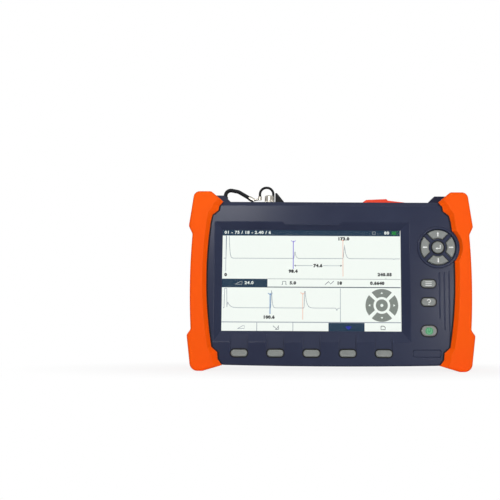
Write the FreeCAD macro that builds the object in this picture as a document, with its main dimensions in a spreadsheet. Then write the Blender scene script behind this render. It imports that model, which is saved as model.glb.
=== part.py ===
import FreeCAD, Part
import math
import os
import re
import Sketcher

# Hand-held time domain reflectometer, in millimetres.
# X runs to the right, Z up, and the front faces -Y. Depths below are measured forward from the
# parting plane, so a depth of 26 lies at Y = -26. The origin is under the middle of the rest faces.

V = FreeCAD.Vector
doc = FreeCAD.newDocument("reflectometer")
sheet = doc.addObject("Spreadsheet::Sheet", "sizes")

sizes = {
    # case
    "case_bottom": 4.9,
    "bottom_bow": 1.0,
    "face_front": 26.0,
    "wall": 2.8,
    "seal_thick": 1.0,
    "top_band": 3.8,
    "crown_rise": 1.0,
    "foot_band": 1.3,
    "shoulder_rise": 10.4,
    "shoulder_step": 3.5,
    "shoulder_depth": 12.5,
    "bay_rise": 2.5,
    # rubber bumpers
    "lip_rise": 4.0,
    "rim_side": 3.4,
    "rim_step": 2.7,
    "rim_top": 9.4,
    "seam_bow": 4.1,
    "waist_bow": 1.4,
    "fit_gap": 0.15,
    "seam_width": 1.1,
    "seam_depth": 1.5,
    "rim_round": 2.0,
    # display and bezel
    "left_margin": 16.45,
    "right_margin": 48.95,
    "head_margin": 17.25,
    "foot_margin": 19.65,
    "screen_w": 154.1,
    "screen_h": 85.9,
    "border": 1.0,
    "slope_left": 6.4,
    "slope_right": 7.1,
    "slope_top": 6.5,
    "slope_foot": 9.3,
    "bezel_depth": 4.0,
    "rim_soft": 1.6,
    "bezel_lip": 1.6,
    "window_thick": 1.8,
    "bond_thick": 0.4,
    "foam_thick": 0.6,
    "panel_thick": 5.7,
    "panel_rim": 5.4,
    # keys
    "soft_w": 14.0,
    "soft_h": 5.8,
    "soft_inset": 15.05,
    "soft_z": 15.1,
    "side_in": 33.1,
    "side_w": 12.5,
    "side_h": 6.6,
    "menu_z": 75.1,
    "help_z": 59.3,
    "power_z": 34.5,
    "power_w": 13.1,
    "power_h": 8.8,
    "nav_in": 24.3,
    "nav_z": 106.7,
    "arrow_outer": 15.0,
    "arrow_inner": 8.0,
    "arrow_side": 2.1,
    "enter_radius": 5.1,
    "ring_rise": 1.3,
    "nav_dish": 0.8,
    "key_gap": 0.6,
    "key_proud": 1.2,
    "key_wall": 3.0,
    "key_flange": 1.2,
    "key_travel": 0.8,
    "key_bevel": 0.7,
    # boards and battery
    "board_thick": 1.6,
    "battery_w": 118.0,
    "battery_h": 45.0,
    "battery_down": 51.0,
    "battery_thick": 20.0,
    "door_thick": 2.0,
    # tilt stand
    "stand_half": 52.0,
    "stand_drop": 38.0,
    "stand_foot": 7.6,
    "stand_thick": 5.0,
    "pin_radius": 1.5,
    # test port, cap and tether
    "port_in": 62.3,
    "port_depth": 13.0,
    "barrel_radius": 3.1,
    "cap_radius": 4.2,
    "cap_rise": 12.4,
    "tether_depth": 19.0,
    "arm_radius": 1.8,
    "loop_radius": 1.15,
    # ports under the cover
    "cover_in": 64.9,
    "cover_w": 46.4,
    "cover_d": 17.0,
    "cover_thick": 4.7,
    "cover_tab": 1.4,
}

# The case is as large as the display and the margins round it, and the rest is placed from its sides
derived = {
    "case_half": "((left_margin+right_margin+slope_left+slope_right+2*border+screen_w)/2)",
    "case_top": "(case_bottom+foot_margin+slope_foot+2*border+screen_h+slope_top+head_margin)",
    "screen_x": "((left_margin+slope_left-slope_right-right_margin)/2)",
    "screen_z": "(case_bottom+foot_margin+slope_foot+border+screen_h/2)",
    "soft_pitch": "((screen_w-2*soft_inset)/4)",
    "side_x": "(case_half-side_in)",
    "nav_x": "(case_half-nav_in)",
    "port_x": "(port_in-case_half)",
    "cover_x": "(case_half-cover_in)",
    "cap_top": "(case_top+cap_rise)",
    "battery_z": "(case_top-battery_down)",
    "stand_axis_z": "(battery_z-stand_drop)",
    "stand_length": "(stand_axis_z-case_bottom-stand_foot)",
}

for line, (alias, number) in enumerate(sizes.items(), start=1):
    sheet.set("A%d" % line, alias)
    sheet.set("B%d" % line, str(number))
    sheet.setAlias("B%d" % line, alias)
doc.recompute()


def bound(text):
    def expand(word):
        name = word.group()
        if name in derived:
            return bound(derived[name])
        return "sizes." + name if name in sizes else name

    return re.sub(r"[a-z][a-z0-9_]*", expand, str(text))


def value(text):
    return float(sheet.evalExpression(bound(text)))


def newBody(name):
    body = doc.addObject("PartDesign::Body", name)
    body.Label = name
    return body


def circle(x, y, radius):
    return ("circle", x, y, radius)


def rect(x0, y0, x1, y1):
    return [(x0, y0), (x1, y0), (x1, y1), (x0, y1)]


def rounded(width, height, radius, x="0", y="0"):
    left, right = "%s-(%s)/2" % (x, width), "%s+(%s)/2" % (x, width)
    low, high = "%s-(%s)/2" % (y, height), "%s+(%s)/2" % (y, height)
    turn = (radius, 1)
    return [
        ("%s+(%s)" % (left, radius), low),
        ("%s-(%s)" % (right, radius), low, turn),
        (right, "%s+(%s)" % (low, radius)),
        (right, "%s-(%s)" % (high, radius), turn),
        ("%s-(%s)" % (right, radius), high),
        ("%s+(%s)" % (left, radius), high, turn),
        (left, "%s-(%s)" % (high, radius)),
        (left, "%s+(%s)" % (low, radius), turn),
    ]


def obround(width, height):
    return rounded(width, height, "(%s)*0.48" % height)


def dimension(sketch, constraint, text):
    index = sketch.addConstraint(constraint)
    sketch.setExpression("Constraints[%d]" % index, bound(text))


def fixPoint(sketch, geometry, point, x, y):
    for kind, text in (("DistanceX", x), ("DistanceY", y)):
        dimension(sketch, Sketcher.Constraint(kind, -1, 1, geometry, point, value(text)), text)


def drawArc(sketch, start, end, radius, turn):
    chord = end - start
    left = V(-chord.y, chord.x, 0).normalize()
    reach = math.sqrt(max(value(radius) ** 2 - chord.Length ** 2 / 4, 0))
    centre = (start + end) * 0.5 + left * (turn * reach)
    first, last = (start, end) if turn > 0 else (end, start)
    angles = [math.atan2(point.y - centre.y, point.x - centre.x) for point in (first, last)]
    if angles[1] < angles[0]:
        angles[1] += 2 * math.pi
    arc = Part.ArcOfCircle(Part.Circle(centre, V(0, 0, 1), value(radius)), angles[0], angles[1])
    geometry = sketch.addGeometry(arc)
    dimension(sketch, Sketcher.Constraint("Radius", geometry, value(radius)), radius)
    return geometry


def drawLoop(sketch, loop):
    if loop[0] == "circle":
        _, x, y, radius = loop
        ring = Part.Circle(V(value(x), value(y), 0), V(0, 0, 1), value(radius))
        geometry = sketch.addGeometry(ring)
        fixPoint(sketch, geometry, 3, x, y)
        dimension(sketch, Sketcher.Constraint("Radius", geometry, value(radius)), radius)
        return
    ends = []
    for index, corner in enumerate(loop):
        follower = loop[(index + 1) % len(loop)]
        start = V(value(corner[0]), value(corner[1]), 0)
        end = V(value(follower[0]), value(follower[1]), 0)
        if len(corner) == 2:
            geometry = sketch.addGeometry(Part.LineSegment(start, end))
            ends.append((geometry, 1, 2))
        else:
            radius, turn = corner[2]
            geometry = drawArc(sketch, start, end, radius, turn)
            ends.append((geometry, 1, 2) if turn > 0 else (geometry, 2, 1))
    for index, corner in enumerate(loop):
        geometry, first, _ = ends[index]
        before, _, last = ends[index - 1]
        sketch.addConstraint(Sketcher.Constraint("Coincident", before, last, geometry, first))
        fixPoint(sketch, geometry, first, corner[0], corner[1])


def newSketch(body, loops, lift, at=("0", "0"), plane="XZ_Plane"):
    sketch = body.newObject("Sketcher::SketchObject", body.Label + "_sketch")
    support = [item for item in body.Origin.OriginFeatures if item.Role == plane][0]
    sketch.AttachmentSupport = (support, [""])
    sketch.MapMode = "FlatFace"
    for axis, text in zip("xyz", (at[0], at[1], lift)):
        sketch.setExpression("AttachmentOffset.Base." + axis, bound(text))
    for loop in loops:
        drawLoop(sketch, loop)
    sketch.Visibility = False
    return sketch


def extrude(kind, body, loops, lift, length, at, plane):
    sketch = newSketch(body, loops, lift, at, plane)
    feature = body.newObject("PartDesign::" + kind, body.Label + "_" + kind.lower())
    feature.Profile = sketch
    feature.setExpression("Length", bound(length))
    doc.recompute()
    return feature


def pad(body, loops, back, front, at=("0", "0"), plane="XZ_Plane"):
    return extrude("Pad", body, loops, back, "(%s)-(%s)" % (front, back), at, plane)


def cut(body, loops, front, back, at=("0", "0"), plane="XZ_Plane"):
    return extrude("Pocket", body, loops, front, "(%s)-(%s)" % (front, back), at, plane)


def loftCut(body, first, second, liftFirst, liftSecond, at=("0", "0")):
    feature = body.newObject("PartDesign::SubtractiveLoft", body.Label + "_loft")
    feature.Profile = newSketch(body, [first], liftFirst, at)
    feature.Sections = [newSketch(body, [second], liftSecond, at)]
    feature.Ruled = True
    doc.recompute()
    return feature


def spin(body, loop, at, lift):
    sketch = newSketch(body, [loop], lift, at)
    feature = body.newObject("PartDesign::Revolution", body.Label + "_turn")
    feature.Profile = sketch
    feature.ReferenceAxis = (sketch, ["V_Axis"])
    feature.Angle = 360
    doc.recompute()
    return feature


def row(body, original, axis, length, count):
    feature = body.newObject("PartDesign::LinearPattern", body.Label + "_row")
    feature.Originals = [original]
    feature.Direction = (original.Profile[0], [axis])
    feature.setExpression("Length", bound(length))
    feature.Occurrences = count
    body.Tip = feature
    doc.recompute()


def edgesWhere(feature, test):
    names = []
    for index, edge in enumerate(feature.Shape.Edges, start=1):
        ends = [vertex.Point for vertex in edge.Vertexes]
        middle = edge.valueAt((edge.FirstParameter + edge.LastParameter) / 2)
        if test(ends, middle):
            names.append("Edge%d" % index)
    return names


def soften(kind, body, size, test):
    base = body.Tip
    feature = body.newObject("PartDesign::" + kind, body.Label + "_" + kind.lower())
    feature.Base = (base, edgesWhere(base, test))
    feature.setExpression("Radius" if kind == "Fillet" else "Size", bound(size))
    doc.recompute()
    return feature


def near(a, b):
    return abs(a - b) < 0.01


def onDepth(text):
    depth = value(text)
    return lambda ends, middle: all(near(-point.y, depth) for point in ends + [middle])


def spots(points, radius):
    return [circle(x, z, radius) for x, z in points]


# Case levels, as depths forward of the parting plane
frontBack = "seal_thick/2"
rearFront = "-seal_thick/2"
lipBack = "face_front-bezel_depth-bezel_lip"
keySeat = "face_front-key_wall"
windowFront = lipBack + "-bond_thick"
windowBack = windowFront + "-window_thick"
panelFront = windowBack + "-foam_thick"
panelBack = panelFront + "-panel_thick"
bracketBack = panelBack + "-1"
bayFloor = "case_top+bay_rise"
shoulderTop = "case_top+shoulder_rise"
shoulderLow = shoulderTop + "-shoulder_step"

# Case outline: corner points as distance in from the side and height
kneeX = "case_half-25.5"
cornerX, cornerZ = "case_half-11.5", "case_bottom+6.6"
sideLow, sideHigh = "case_bottom+17.1", "case_top-11.5"
crownX = "case_half-9.5"
rearHigh, rearCrown, rearShoulder = "case_top-4.5", "case_half-7", "case_half-21.7"
stepX = "case_half-11.5"
bayFoot = rearShoulder + "-shoulder_rise+bay_rise"
bowRadius = "((%s)^2+bottom_bow^2)/(2*bottom_bow)" % kneeX


def mirrored(right):
    left = [("-(%s)" % corner[0], corner[1]) for corner in reversed(right)]
    return right + left


lowRight = [(kneeX, "case_bottom"), (cornerX, cornerZ), ("case_half", sideLow)]
frontRight = lowRight + [("case_half", sideHigh), (crownX, "case_top+crown_rise")]
rearRight = lowRight + [
    ("case_half", rearHigh),
    (rearCrown, shoulderLow),
    (stepX, shoulderLow),
    (stepX, shoulderTop),
    (rearShoulder, shoulderTop),
    (bayFoot, bayFloor),
]


def bowed(right):
    outline = mirrored(right)
    outline[-1] = outline[-1] + ((bowRadius, 1),)
    return outline


def inset(top, amount):
    return mirrored([
        ("%s-0.2*(%s)" % (kneeX, amount), "case_bottom+(%s)" % amount),
        ("%s-0.6*(%s)" % (cornerX, amount), "%s+0.9*(%s)" % (cornerZ, amount)),
        ("case_half-(%s)" % amount, "%s+0.55*(%s)" % (sideLow, amount)),
        ("case_half-(%s)" % amount, "%s-0.5*(%s)" % (sideHigh, amount)),
        ("%s-0.6*(%s)" % (crownX, amount), "%s-(%s)" % (top, amount)),
    ])


# Bezel opening round the display
openLeft = "screen_x-screen_w/2-border"
openRight = "screen_x+screen_w/2+border"
openFoot = "screen_z-screen_h/2-border"
openHead = "screen_z+screen_h/2+border"


def opening(grow):
    return rect(
        "%s-(%s)" % (openLeft, grow),
        "%s-(%s)" % (openFoot, grow),
        "%s+(%s)" % (openRight, grow),
        "%s+(%s)" % (openHead, grow),
    )


bezelRim = rect(
    openLeft + "-slope_left",
    openFoot + "-slope_foot",
    openRight + "+slope_right",
    openHead + "+slope_top",
)

# Fastener places
caseScrews = [
    ("case_half-27.5", "case_top-12.5"),
    ("27.5-case_half", "case_top-12.5"),
    ("case_half-20.5", "case_bottom+15.6"),
    ("20.5-case_half", "case_bottom+15.6"),
]
panelSides = ("screen_x-screen_w/2-11.5", "screen_x+screen_w/2+10.6")
panelScrews = [(x, z) for x in panelSides for z in ("screen_z-32.8", "screen_z+32.2")]
keyScrews = [
    ("screen_x-1.5*soft_pitch", "soft_z"),
    ("screen_x+1.5*soft_pitch", "soft_z"),
    ("side_x+19.6", "power_z+10.5"),
    ("side_x+19.6", "menu_z+2.9"),
]
doorScrews = [
    ("%s(battery_w/2+5)" % side, "battery_z%s(battery_h/2+1.3)" % end)
    for side in ("-", "")
    for end in ("-", "+")
]
softFirst = "screen_x-2*soft_pitch"
softSpots = [("screen_x%+d*soft_pitch" % step, "soft_z") for step in range(-2, 3)]
arrowReach = "(arrow_outer+arrow_inner)/2"
arrowSpots = [
    ("nav_x", "nav_z+" + arrowReach),
    ("nav_x", "nav_z-" + arrowReach),
    ("nav_x-" + arrowReach, "nav_z"),
    ("nav_x+" + arrowReach, "nav_z"),
]
sideSpots = [("side_x", "menu_z"), ("side_x", "help_z"), ("side_x", "power_z")]
keySpots = softSpots + arrowSpots + [("nav_x", "nav_z")] + sideSpots


def sector(outer, inner, side):
    def corner(radius, start):
        angle = "(%s asin((%s)/(%s)))" % (start, side, radius)
        return "(%s)*cos%s" % (radius, angle), "(%s)*sin%s" % (radius, angle)

    right, left = "45 deg +", "135 deg -"
    return [
        corner(outer, right) + ((outer, 1),),
        corner(outer, left),
        corner(inner, left) + ((inner, -1),),
        corner(inner, right),
    ]


navAt = ("nav_x", "nav_z")
ringOuter = "arrow_outer+key_gap+2.6"
ringInner = "arrow_outer+key_gap+0.2"

# Bumper outline: seam points run down the inner edge, as distance in from the side and height
seamPoints = [
    ("23.5", "case_top+0.5"),
    ("19.9", "case_top-3.5"),
    ("19.3", "case_top-7.1"),
    ("14.1", "case_top-11.3"),
    ("12.7", "case_top-17"),
    ("15.1", "case_bottom+15.3"),
    ("20.1", "case_bottom+10.9"),
    ("20.7", "case_bottom+4.9"),
    ("24.3", "case_bottom-0.1"),
]
rimPoints = [
    ("8", "0"),
    ("-rim_side+1.1", "0"),
    ("-rim_side-2.7", "case_bottom+25.5"),
    ("-rim_side+0.6", "case_bottom+30.3"),
    ("-rim_side+0.6", "case_top-28.2"),
    ("-rim_side-rim_step", "case_top-21.3"),
    ("-rim_side+1.6", "case_top+rim_top"),
    ("13", "case_top+rim_top"),
]
lipFoot = seamPoints[1:-1]
lipFace = [
    ("14.5", "case_top-2"),
    ("13.5", "case_top-5.3"),
    ("10.3", "case_top-9.1"),
    ("9.3", "case_top-16"),
    ("11.7", "case_bottom+14.3"),
    ("14.9", "case_bottom+7.7"),
    ("15.5", "case_bottom+3.1"),
]
seamChord, waistChord = "(case_top-37.2)", "(case_top-63.4)"
seamRadius = "%s^2/(8*seam_bow)+seam_bow/2" % seamChord
waistRadius = "%s^2/(8*waist_bow)+waist_bow/2" % waistChord


def sided(side, points, bow=None):
    outline = [("%d*(case_half-(%s))" % (side, point[0]), point[1]) for point in points]
    if bow:
        index, radius, turn = bow
        outline[index] = outline[index] + ((radius, side * turn),)
    return outline


# Front housing
front = newBody("front_housing")
pad(front, [bowed(frontRight)], frontBack, "face_front")
topEdge, face = value("case_top+crown_rise"), value("face_front")
soften("Chamfer", front, "top_band", lambda ends, middle: all(
    near(-point.y, face) and near(point.z, topEdge) for point in ends))
soften("Chamfer", front, "foot_band", lambda ends, middle: all(
    near(-point.y, face) and near(point.z, value("case_bottom")) for point in ends))
loftCut(front, bezelRim, opening("0"), "face_front", "face_front-bezel_depth")
rimBox = [value(bezelRim[0][0]), value(bezelRim[2][0]), value(bezelRim[0][1]), value(bezelRim[2][1])]
soften("Fillet", front, "rim_soft", lambda ends, middle: all(
    near(-spot.y, face) and rimBox[0] - 1 < spot.x < rimBox[1] + 1 and
    rimBox[2] - 1 < spot.z < rimBox[3] + 1 for spot in ends + [middle]))
cut(front, [opening("0")], "face_front-bezel_depth", lipBack + "-1")
tongueTop, tongueFoot = openHead + "+slope_top", openHead + "+slope_top-2.2"
pad(front, [[
    ("screen_x-26.4", tongueTop + "+0.6"),
    ("screen_x-22.6", tongueFoot),
    ("screen_x+23.2", tongueFoot),
    ("screen_x+27", tongueTop + "+0.6"),
]], "face_front-2", "face_front")
for side in (-1, 1):
    inner = [(point[0] + "+seam_width", point[1]) for point in seamPoints]
    outer = [(point[0] + "-0.2", point[1]) for point in reversed(seamPoints)]
    cut(front, [sided(side, inner, (4, seamRadius, -1)) + sided(side, outer, (3, seamRadius, 1))],
        "face_front+1", "face_front-seam_depth")
rampFoot, rampHead = "soft_z+0.9", openFoot + "-2.2"
ramp = cut(front, [[
    ("-face_front-2", rampFoot),
    ("-face_front+1", rampFoot),
    ("-face_front+bezel_depth*0.74", rampHead),
    ("-face_front-2", rampHead),
]], softFirst + "+soft_w/2+0.5", softFirst + "-soft_w/2-0.5", plane="YZ_Plane")
row(front, ramp, "N_Axis", "4*soft_pitch", 5)
cut(front, [inset("case_top", "wall")], lipBack, frontBack + "-1")
cut(front, [
    rect("screen_x-2*soft_pitch-11.5", "soft_z-7", "screen_x+2*soft_pitch+16.5", "soft_z+8.7"),
    rect("side_x-12.4", "power_z-7.5", "case_half-4", "nav_z+19.3"),
], keySeat, lipBack + "-1")
softHole = cut(front, [obround("soft_w+2*key_gap", "soft_h+2*key_gap")],
               "face_front+1", keySeat + "-1", (softFirst, "soft_z"))
row(front, softHole, "H_Axis", "4*soft_pitch", 5)
for height in ("menu_z", "help_z"):
    cut(front, [obround("side_w+2*key_gap", "side_h+2*key_gap")],
        "face_front+1", keySeat + "-1", ("side_x", height))
cut(front, [obround("power_w+2*key_gap", "power_h+2*key_gap")],
    "face_front+1", keySeat + "-1", ("side_x", "power_z"))
pad(front, [circle("0", "0", ringOuter), circle("0", "0", ringInner)],
    "face_front-seam_depth-0.3", "face_front+ring_rise", navAt)
soften("Fillet", front, "ring_rise*0.7", onDepth("face_front+ring_rise"))
cut(front, [circle("0", "0", ringInner)], "face_front+0.5", "face_front-nav_dish", navAt)
arrowHole = cut(front, [sector("arrow_outer+key_gap", "arrow_inner-key_gap", "arrow_side-key_gap")],
                "face_front+1", keySeat + "-1", navAt)
around = front.newObject("PartDesign::PolarPattern", "arrow_holes")
around.Originals = [arrowHole]
around.Axis = (arrowHole.Profile[0], ["N_Axis"])
around.Angle = 360
around.Occurrences = 4
front.Tip = around
cut(front, [circle("0", "0", "enter_radius+key_gap")], "face_front+1", keySeat + "-1", navAt)
lineTop = "nav_z-22"
cut(front, [
    rect("nav_x+0.3", "help_z-14.2", "nav_x+1.3", lineTop),
    rect("nav_x+4.4", "power_z+0.7", "nav_x+5.4", lineTop),
    rect("nav_x+8.6", "power_z-11.9", "nav_x+9.6", lineTop + "+1"),
], "face_front+1", "face_front-0.5")
cut(front, [rounded("24.6", "6.9", "2"), rounded("23", "5.3", "1.2")],
    "face_front+1", "face_front-0.8", ("side_x-2.1", "soft_z"))
pad(front, spots(caseScrews, "4.2"), frontBack, lipBack + "+0.5")
cut(front, spots(caseScrews, "1.6"), "14", frontBack + "-1")
pad(front, spots(panelScrews, "3"), panelBack, lipBack + "+0.5")
cut(front, spots(panelScrews, "1.45"), panelBack + "+5.5", panelBack + "-1")
pad(front, spots(keyScrews, "2.4"), keySeat + "-4.4", keySeat + "+0.5")
cut(front, spots(keyScrews, "1.05"), keySeat + "-0.8", keySeat + "-5")

# Seal between the two shells
seal = newBody("housing_seal")
pad(seal, [inset("case_top", "0.3"), inset("case_top", "wall-0.4")], rearFront, frontBack)

# Rear housing with battery well, stand recess and shoulders
rear = newBody("rear_housing")
pad(rear, [bowed(rearRight)], "-face_front", rearFront)
soften("Chamfer", rear, "wall*0.7", lambda ends, middle: all(
    near(-point.y, -face) for point in ends + [middle]))
cut(rear, [rect("-(%s)+0.5" % stepX, bayFloor, stepX + "-0.5", shoulderTop + "+1")],
    "-shoulder_depth", "-face_front-1")
wellX, wellLow, wellHigh = "battery_w/2+13", "battery_z-battery_h/2-8", "battery_z+battery_h/2+7"
cut(rear, [inset("case_top", "wall"), rect("-(%s)" % wellX, wellLow, wellX, wellHigh)],
    "1", "9.5-face_front")
wellSide = wellX + "+2"
innerTop = "%s-wall" % bayFloor
cut(rear, [
    rect("wall+0.5-case_half", sideLow + "+5", "-(%s)" % wellSide, "case_top-17.5"),
    rect(wellSide, sideLow + "+5", "case_half-wall-0.5", "case_top-17.5"),
], "10-face_front", "wall-face_front")
cut(rear, [rect("28-case_half", wellHigh + "+2", "case_half-28", innerTop)],
    "10-face_front", "wall-face_front")
cut(rear, [rect("28-case_half", "case_top-wall-2", "case_half-28", innerTop)],
    "-4", "9-face_front")
cut(rear, [rounded("battery_w+2", "battery_h+2", "3", "0", "battery_z")], "-2.5", "-face_front-1")
doorW, doorH = "battery_w+18", "battery_h+9.5"
doorIn = "door_thick+0.6-face_front"
cut(rear, [rounded(doorW, doorH, "4", "0", "battery_z")], doorIn, "-face_front-1")
cut(rear, spots(doorScrews, "1.3"), doorIn + "+9", doorIn)
standTop, standFoot = "stand_axis_z+3.7", "stand_axis_z-stand_length-0.6"
standIn = "stand_thick+1.4-face_front"
standHinge = "3-face_front"
cut(rear, [rect("-stand_half-0.6", standFoot, "stand_half+0.6", standTop)], standIn, "-face_front-1")
cut(rear, [rect("-12", "case_bottom+0.9", "12", standFoot + "+1")], standIn, "-face_front-1")
pinHalf = "stand_half+4.5"
cut(rear, [circle("-(%s)" % standHinge, "stand_axis_z", "pin_radius")],
    pinHalf, "-(%s)" % pinHalf, plane="YZ_Plane")
pad(rear, spots(caseScrews, "4.2"), "wall-face_front-0.5", rearFront)
cut(rear, spots(caseScrews, "3.2"), "4-face_front", "-face_front-1")
cut(rear, spots(caseScrews, "1.75"), "1", "3-face_front")
portY, auxY = "port_depth", "tether_depth+0.5"
auxX = "port_x+9.9"
cut(rear, [circle("port_x", portY, "barrel_radius+0.1"), circle(auxX, auxY, "2.6")],
    bayFloor + "+1", innerTop + "-0.2", plane="XY_Plane")
coverMid = "port_depth"
slotW, slotD = "cover_w-7", "cover_d-7"
cut(rear, [rounded(slotW, slotD, "2", "cover_x", coverMid)],
    bayFloor + "+1", innerTop + "-0.2", plane="XY_Plane")
ioPosts = [("cover_x-cover_w/2+1.2", coverMid), ("cover_x+cover_w/2-1.2", coverMid)]
ioTop = innerTop + "-12.6"
pad(rear, spots(ioPosts, "2.2"), ioTop, innerTop + "+0.5", plane="XY_Plane")
cut(rear, spots(ioPosts, "0.95"), ioTop + "+6", ioTop + "-1", plane="XY_Plane")
hingeY, hingeZ = coverMid + "+cover_d/2+2.3", bayFloor + "+2.2"
earIn, earOut = "cover_w/2-5.5", "cover_w/2-3.7"
for near_side, far_side in (("cover_x+" + earOut, "cover_x+" + earIn),
                            ("cover_x-(%s)" % earIn, "cover_x-(%s)" % earOut)):
    pad(rear, [[
        (hingeY + "-1.5", bayFloor + "-0.5"),
        (hingeY + "+1.4", bayFloor + "-0.5"),
        (hingeY + "+1.4", hingeZ + "+1.3"),
        (hingeY + "-1.5", hingeZ + "+1.3"),
    ]], far_side, near_side, plane="YZ_Plane")
cut(rear, [circle(hingeY, hingeZ, "0.8")], "cover_x+" + earOut + "+0.5",
    "cover_x-(%s)-0.5" % earOut, plane="YZ_Plane")

# Rubber bumpers, gripping both ends of the case
def bumper(name, side):
    def lipLoop(points, tip, heel):
        return sided(side, [tip] + points + [heel, ("40", heel[1]), ("40", tip[1])],
                     (4, seamRadius, -1))

    body = newBody(name)
    outline = sided(side, seamPoints, (4, seamRadius, -1)) + sided(side, rimPoints, (3, waistRadius, 1))
    reach = "face_front+lip_rise"
    pad(body, [outline], "-(%s)" % reach, reach)

    def upright(index):
        x = value("%d*(case_half-(%s))" % (side, rimPoints[index][0]))
        z = value(rimPoints[index][1])
        return lambda ends, middle: all(near(point.x, x) and near(point.z, z) for point in ends)

    for index, radius in ((1, "7"), (2, "3"), (3, "3"), (4, "3"), (5, "3"), (6, "5.5"), (7, "3")):
        soften("Fillet", body, radius, upright(index))
    edge = value("case_half-9.2")
    high, low = value("case_top+1.5"), value("case_bottom-0.9")
    tip = value(reach)
    soften("Fillet", body, "rim_round", lambda ends, middle: near(abs(middle.y), tip) and (
        abs(middle.x) > edge or middle.z > high or middle.z < low))
    for sign in ("", "-"):
        loftCut(body,
                lipLoop(lipFoot, ("24.22", "case_top+1.3"), ("25.38", "case_bottom-1.6")),
                lipLoop(lipFace, ("20.5", "case_top+4.6"), ("18.9", "case_bottom-3")),
                "%s(face_front+0.6)" % sign, "%s(%s+0.2)" % (sign, reach))
    gap = "fit_gap"
    low = [
        ("37", "case_bottom-" + gap),
        ("25.5", "case_bottom-" + gap),
        ("11.5-" + gap, cornerZ + "-" + gap),
        ("-" + gap, sideLow + "-" + gap),
    ]
    cut(body, [sided(side, low + [
        ("-" + gap, sideHigh + "+" + gap),
        ("9.5-" + gap, "case_top+crown_rise+" + gap),
        ("37", "case_top+crown_rise+" + gap),
    ])], "face_front+" + gap, "0")
    cut(body, [sided(side, low + [
        ("-" + gap, rearHigh + "+" + gap),
        ("7-" + gap, shoulderLow + "+" + gap),
        ("11.5-" + gap, shoulderLow + "+" + gap),
        ("11.5-" + gap, "case_top+rim_top+5"),
        ("37", "case_top+rim_top+5"),
    ])], "0", "-face_front-" + gap)
    return body


bumper("left_bumper", -1)
rightBumper = bumper("right_bumper", 1)
loftCut(rightBumper, circle("0", "0", ringOuter + "+0.6"), circle("0", "0", ringOuter + "+3"),
        "face_front+0.1", "face_front+lip_rise+0.2", navAt)

# Display stack
window = newBody("display_window")
pad(window, [opening("4")], windowBack, windowFront)
bond = newBody("window_gasket")
pad(bond, [opening("3.5"), opening("0.5")], windowFront, lipBack)
foam = newBody("display_gasket")
pad(foam, [opening("3.4"), opening("0.6")], panelFront, windowBack)
panel = newBody("lcd_panel")
pad(panel, [opening("panel_rim-border")], panelBack, panelFront)
bracket = newBody("lcd_bracket")
bracketW = "screen_w+33"
pad(bracket, [
    rounded(bracketW, "screen_h+14", "3", "screen_x-0.5", "screen_z"),
    rounded("screen_w-10", "screen_h-12", "3", "screen_x-0.5", "screen_z"),
], bracketBack, panelBack)
cut(bracket, spots(panelScrews, "1.45"), panelBack + "+1", bracketBack + "-1")


# Keys: cap standing out of the housing, flange held behind its wall
flangeTop = keySeat + "-0.2"
flangeBack = flangeTop + "-key_flange"
keyTop = "face_front+key_proud"


def pushKey(name, x, z, width, height):
    body = newBody(name)
    at = (x, z)
    pad(body, [obround(width, height)], flangeBack, keyTop, at)
    soften("Chamfer", body, "key_bevel", onDepth(keyTop))
    cut(body, [obround(width + "-2.8", height + "-2.8")], keyTop + "+1", keyTop + "-0.2", at)
    pad(body, [obround(width + "+2*key_gap+1.6", height + "+2*key_gap+1.6")],
        flangeBack, flangeTop, at)


for index, (x, z) in enumerate(softSpots, start=1):
    pushKey("soft_key_%d" % index, x, z, "soft_w", "soft_h")
pushKey("menu_key", "side_x", "menu_z", "side_w", "side_h")
pushKey("help_key", "side_x", "help_z", "side_w", "side_h")
pushKey("power_key", "side_x", "power_z", "power_w", "power_h")

arrowTop = "face_front+key_proud*0.7"
for name, angle in (("arrow_up", 0), ("arrow_right", 90), ("arrow_down", 180), ("arrow_left", 270)):
    arrow = newBody(name)
    pad(arrow, [sector("arrow_outer", "arrow_inner", "arrow_side")], flangeBack, arrowTop)
    soften("Chamfer", arrow, "key_bevel", onDepth(arrowTop))
    pad(arrow, [sector("arrow_outer+key_gap+0.7", "arrow_inner-key_gap-0.5",
                       "arrow_side-key_gap-0.6")], flangeBack, flangeTop)
    arrow.Placement = FreeCAD.Placement(V(0, 0, 0), FreeCAD.Rotation(V(0, 1, 0), angle))
    arrow.setExpression("Placement.Base.x", bound("nav_x"))
    arrow.setExpression("Placement.Base.z", bound("nav_z"))

enter = newBody("enter_key")
pad(enter, [circle("0", "0", "enter_radius")], flangeBack, arrowTop, navAt)
soften("Chamfer", enter, "key_bevel", onDepth(arrowTop))
pad(enter, [circle("0", "0", "enter_radius+key_gap+0.5")], flangeBack, flangeTop, navAt)

# Key board behind the keys
keyBoardFront = keySeat + "-4.4"
keyBoardBack = keyBoardFront + "-1.2"
keyBoard = newBody("key_board")
boardFoot, boardEdge = "soft_z-6.6", "soft_z+8"
pad(keyBoard, [[
    ("screen_x-2*soft_pitch-9.4", boardFoot),
    ("side_x+5.6", boardFoot),
    ("side_x+5.6", "power_z-7.2"),
    ("case_half-5.5", "power_z-7.2"),
    ("case_half-5.5", "nav_z+19"),
    ("side_x-8.4", "nav_z+19"),
    ("side_x-8.4", boardEdge),
    ("screen_x-2*soft_pitch-9.4", boardEdge),
]], keyBoardBack, keyBoardFront)
cut(keyBoard, spots(keyScrews, "1.1"), keyBoardFront + "+1", keyBoardBack + "-1")
switches = newBody("key_switches")
switchTop = flangeBack + "-key_travel-0.2"
switchBody = "(%s)-0.6" % switchTop
pad(switches, [rect(x + "-2.2", z + "-2.2", x + "+2.2", z + "+2.2") for x, z in keySpots],
    keyBoardFront, switchBody)
pad(switches, spots(keySpots, "1.1"), switchBody, switchTop)
keyFixings = newBody("key_board_screws")
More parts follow.
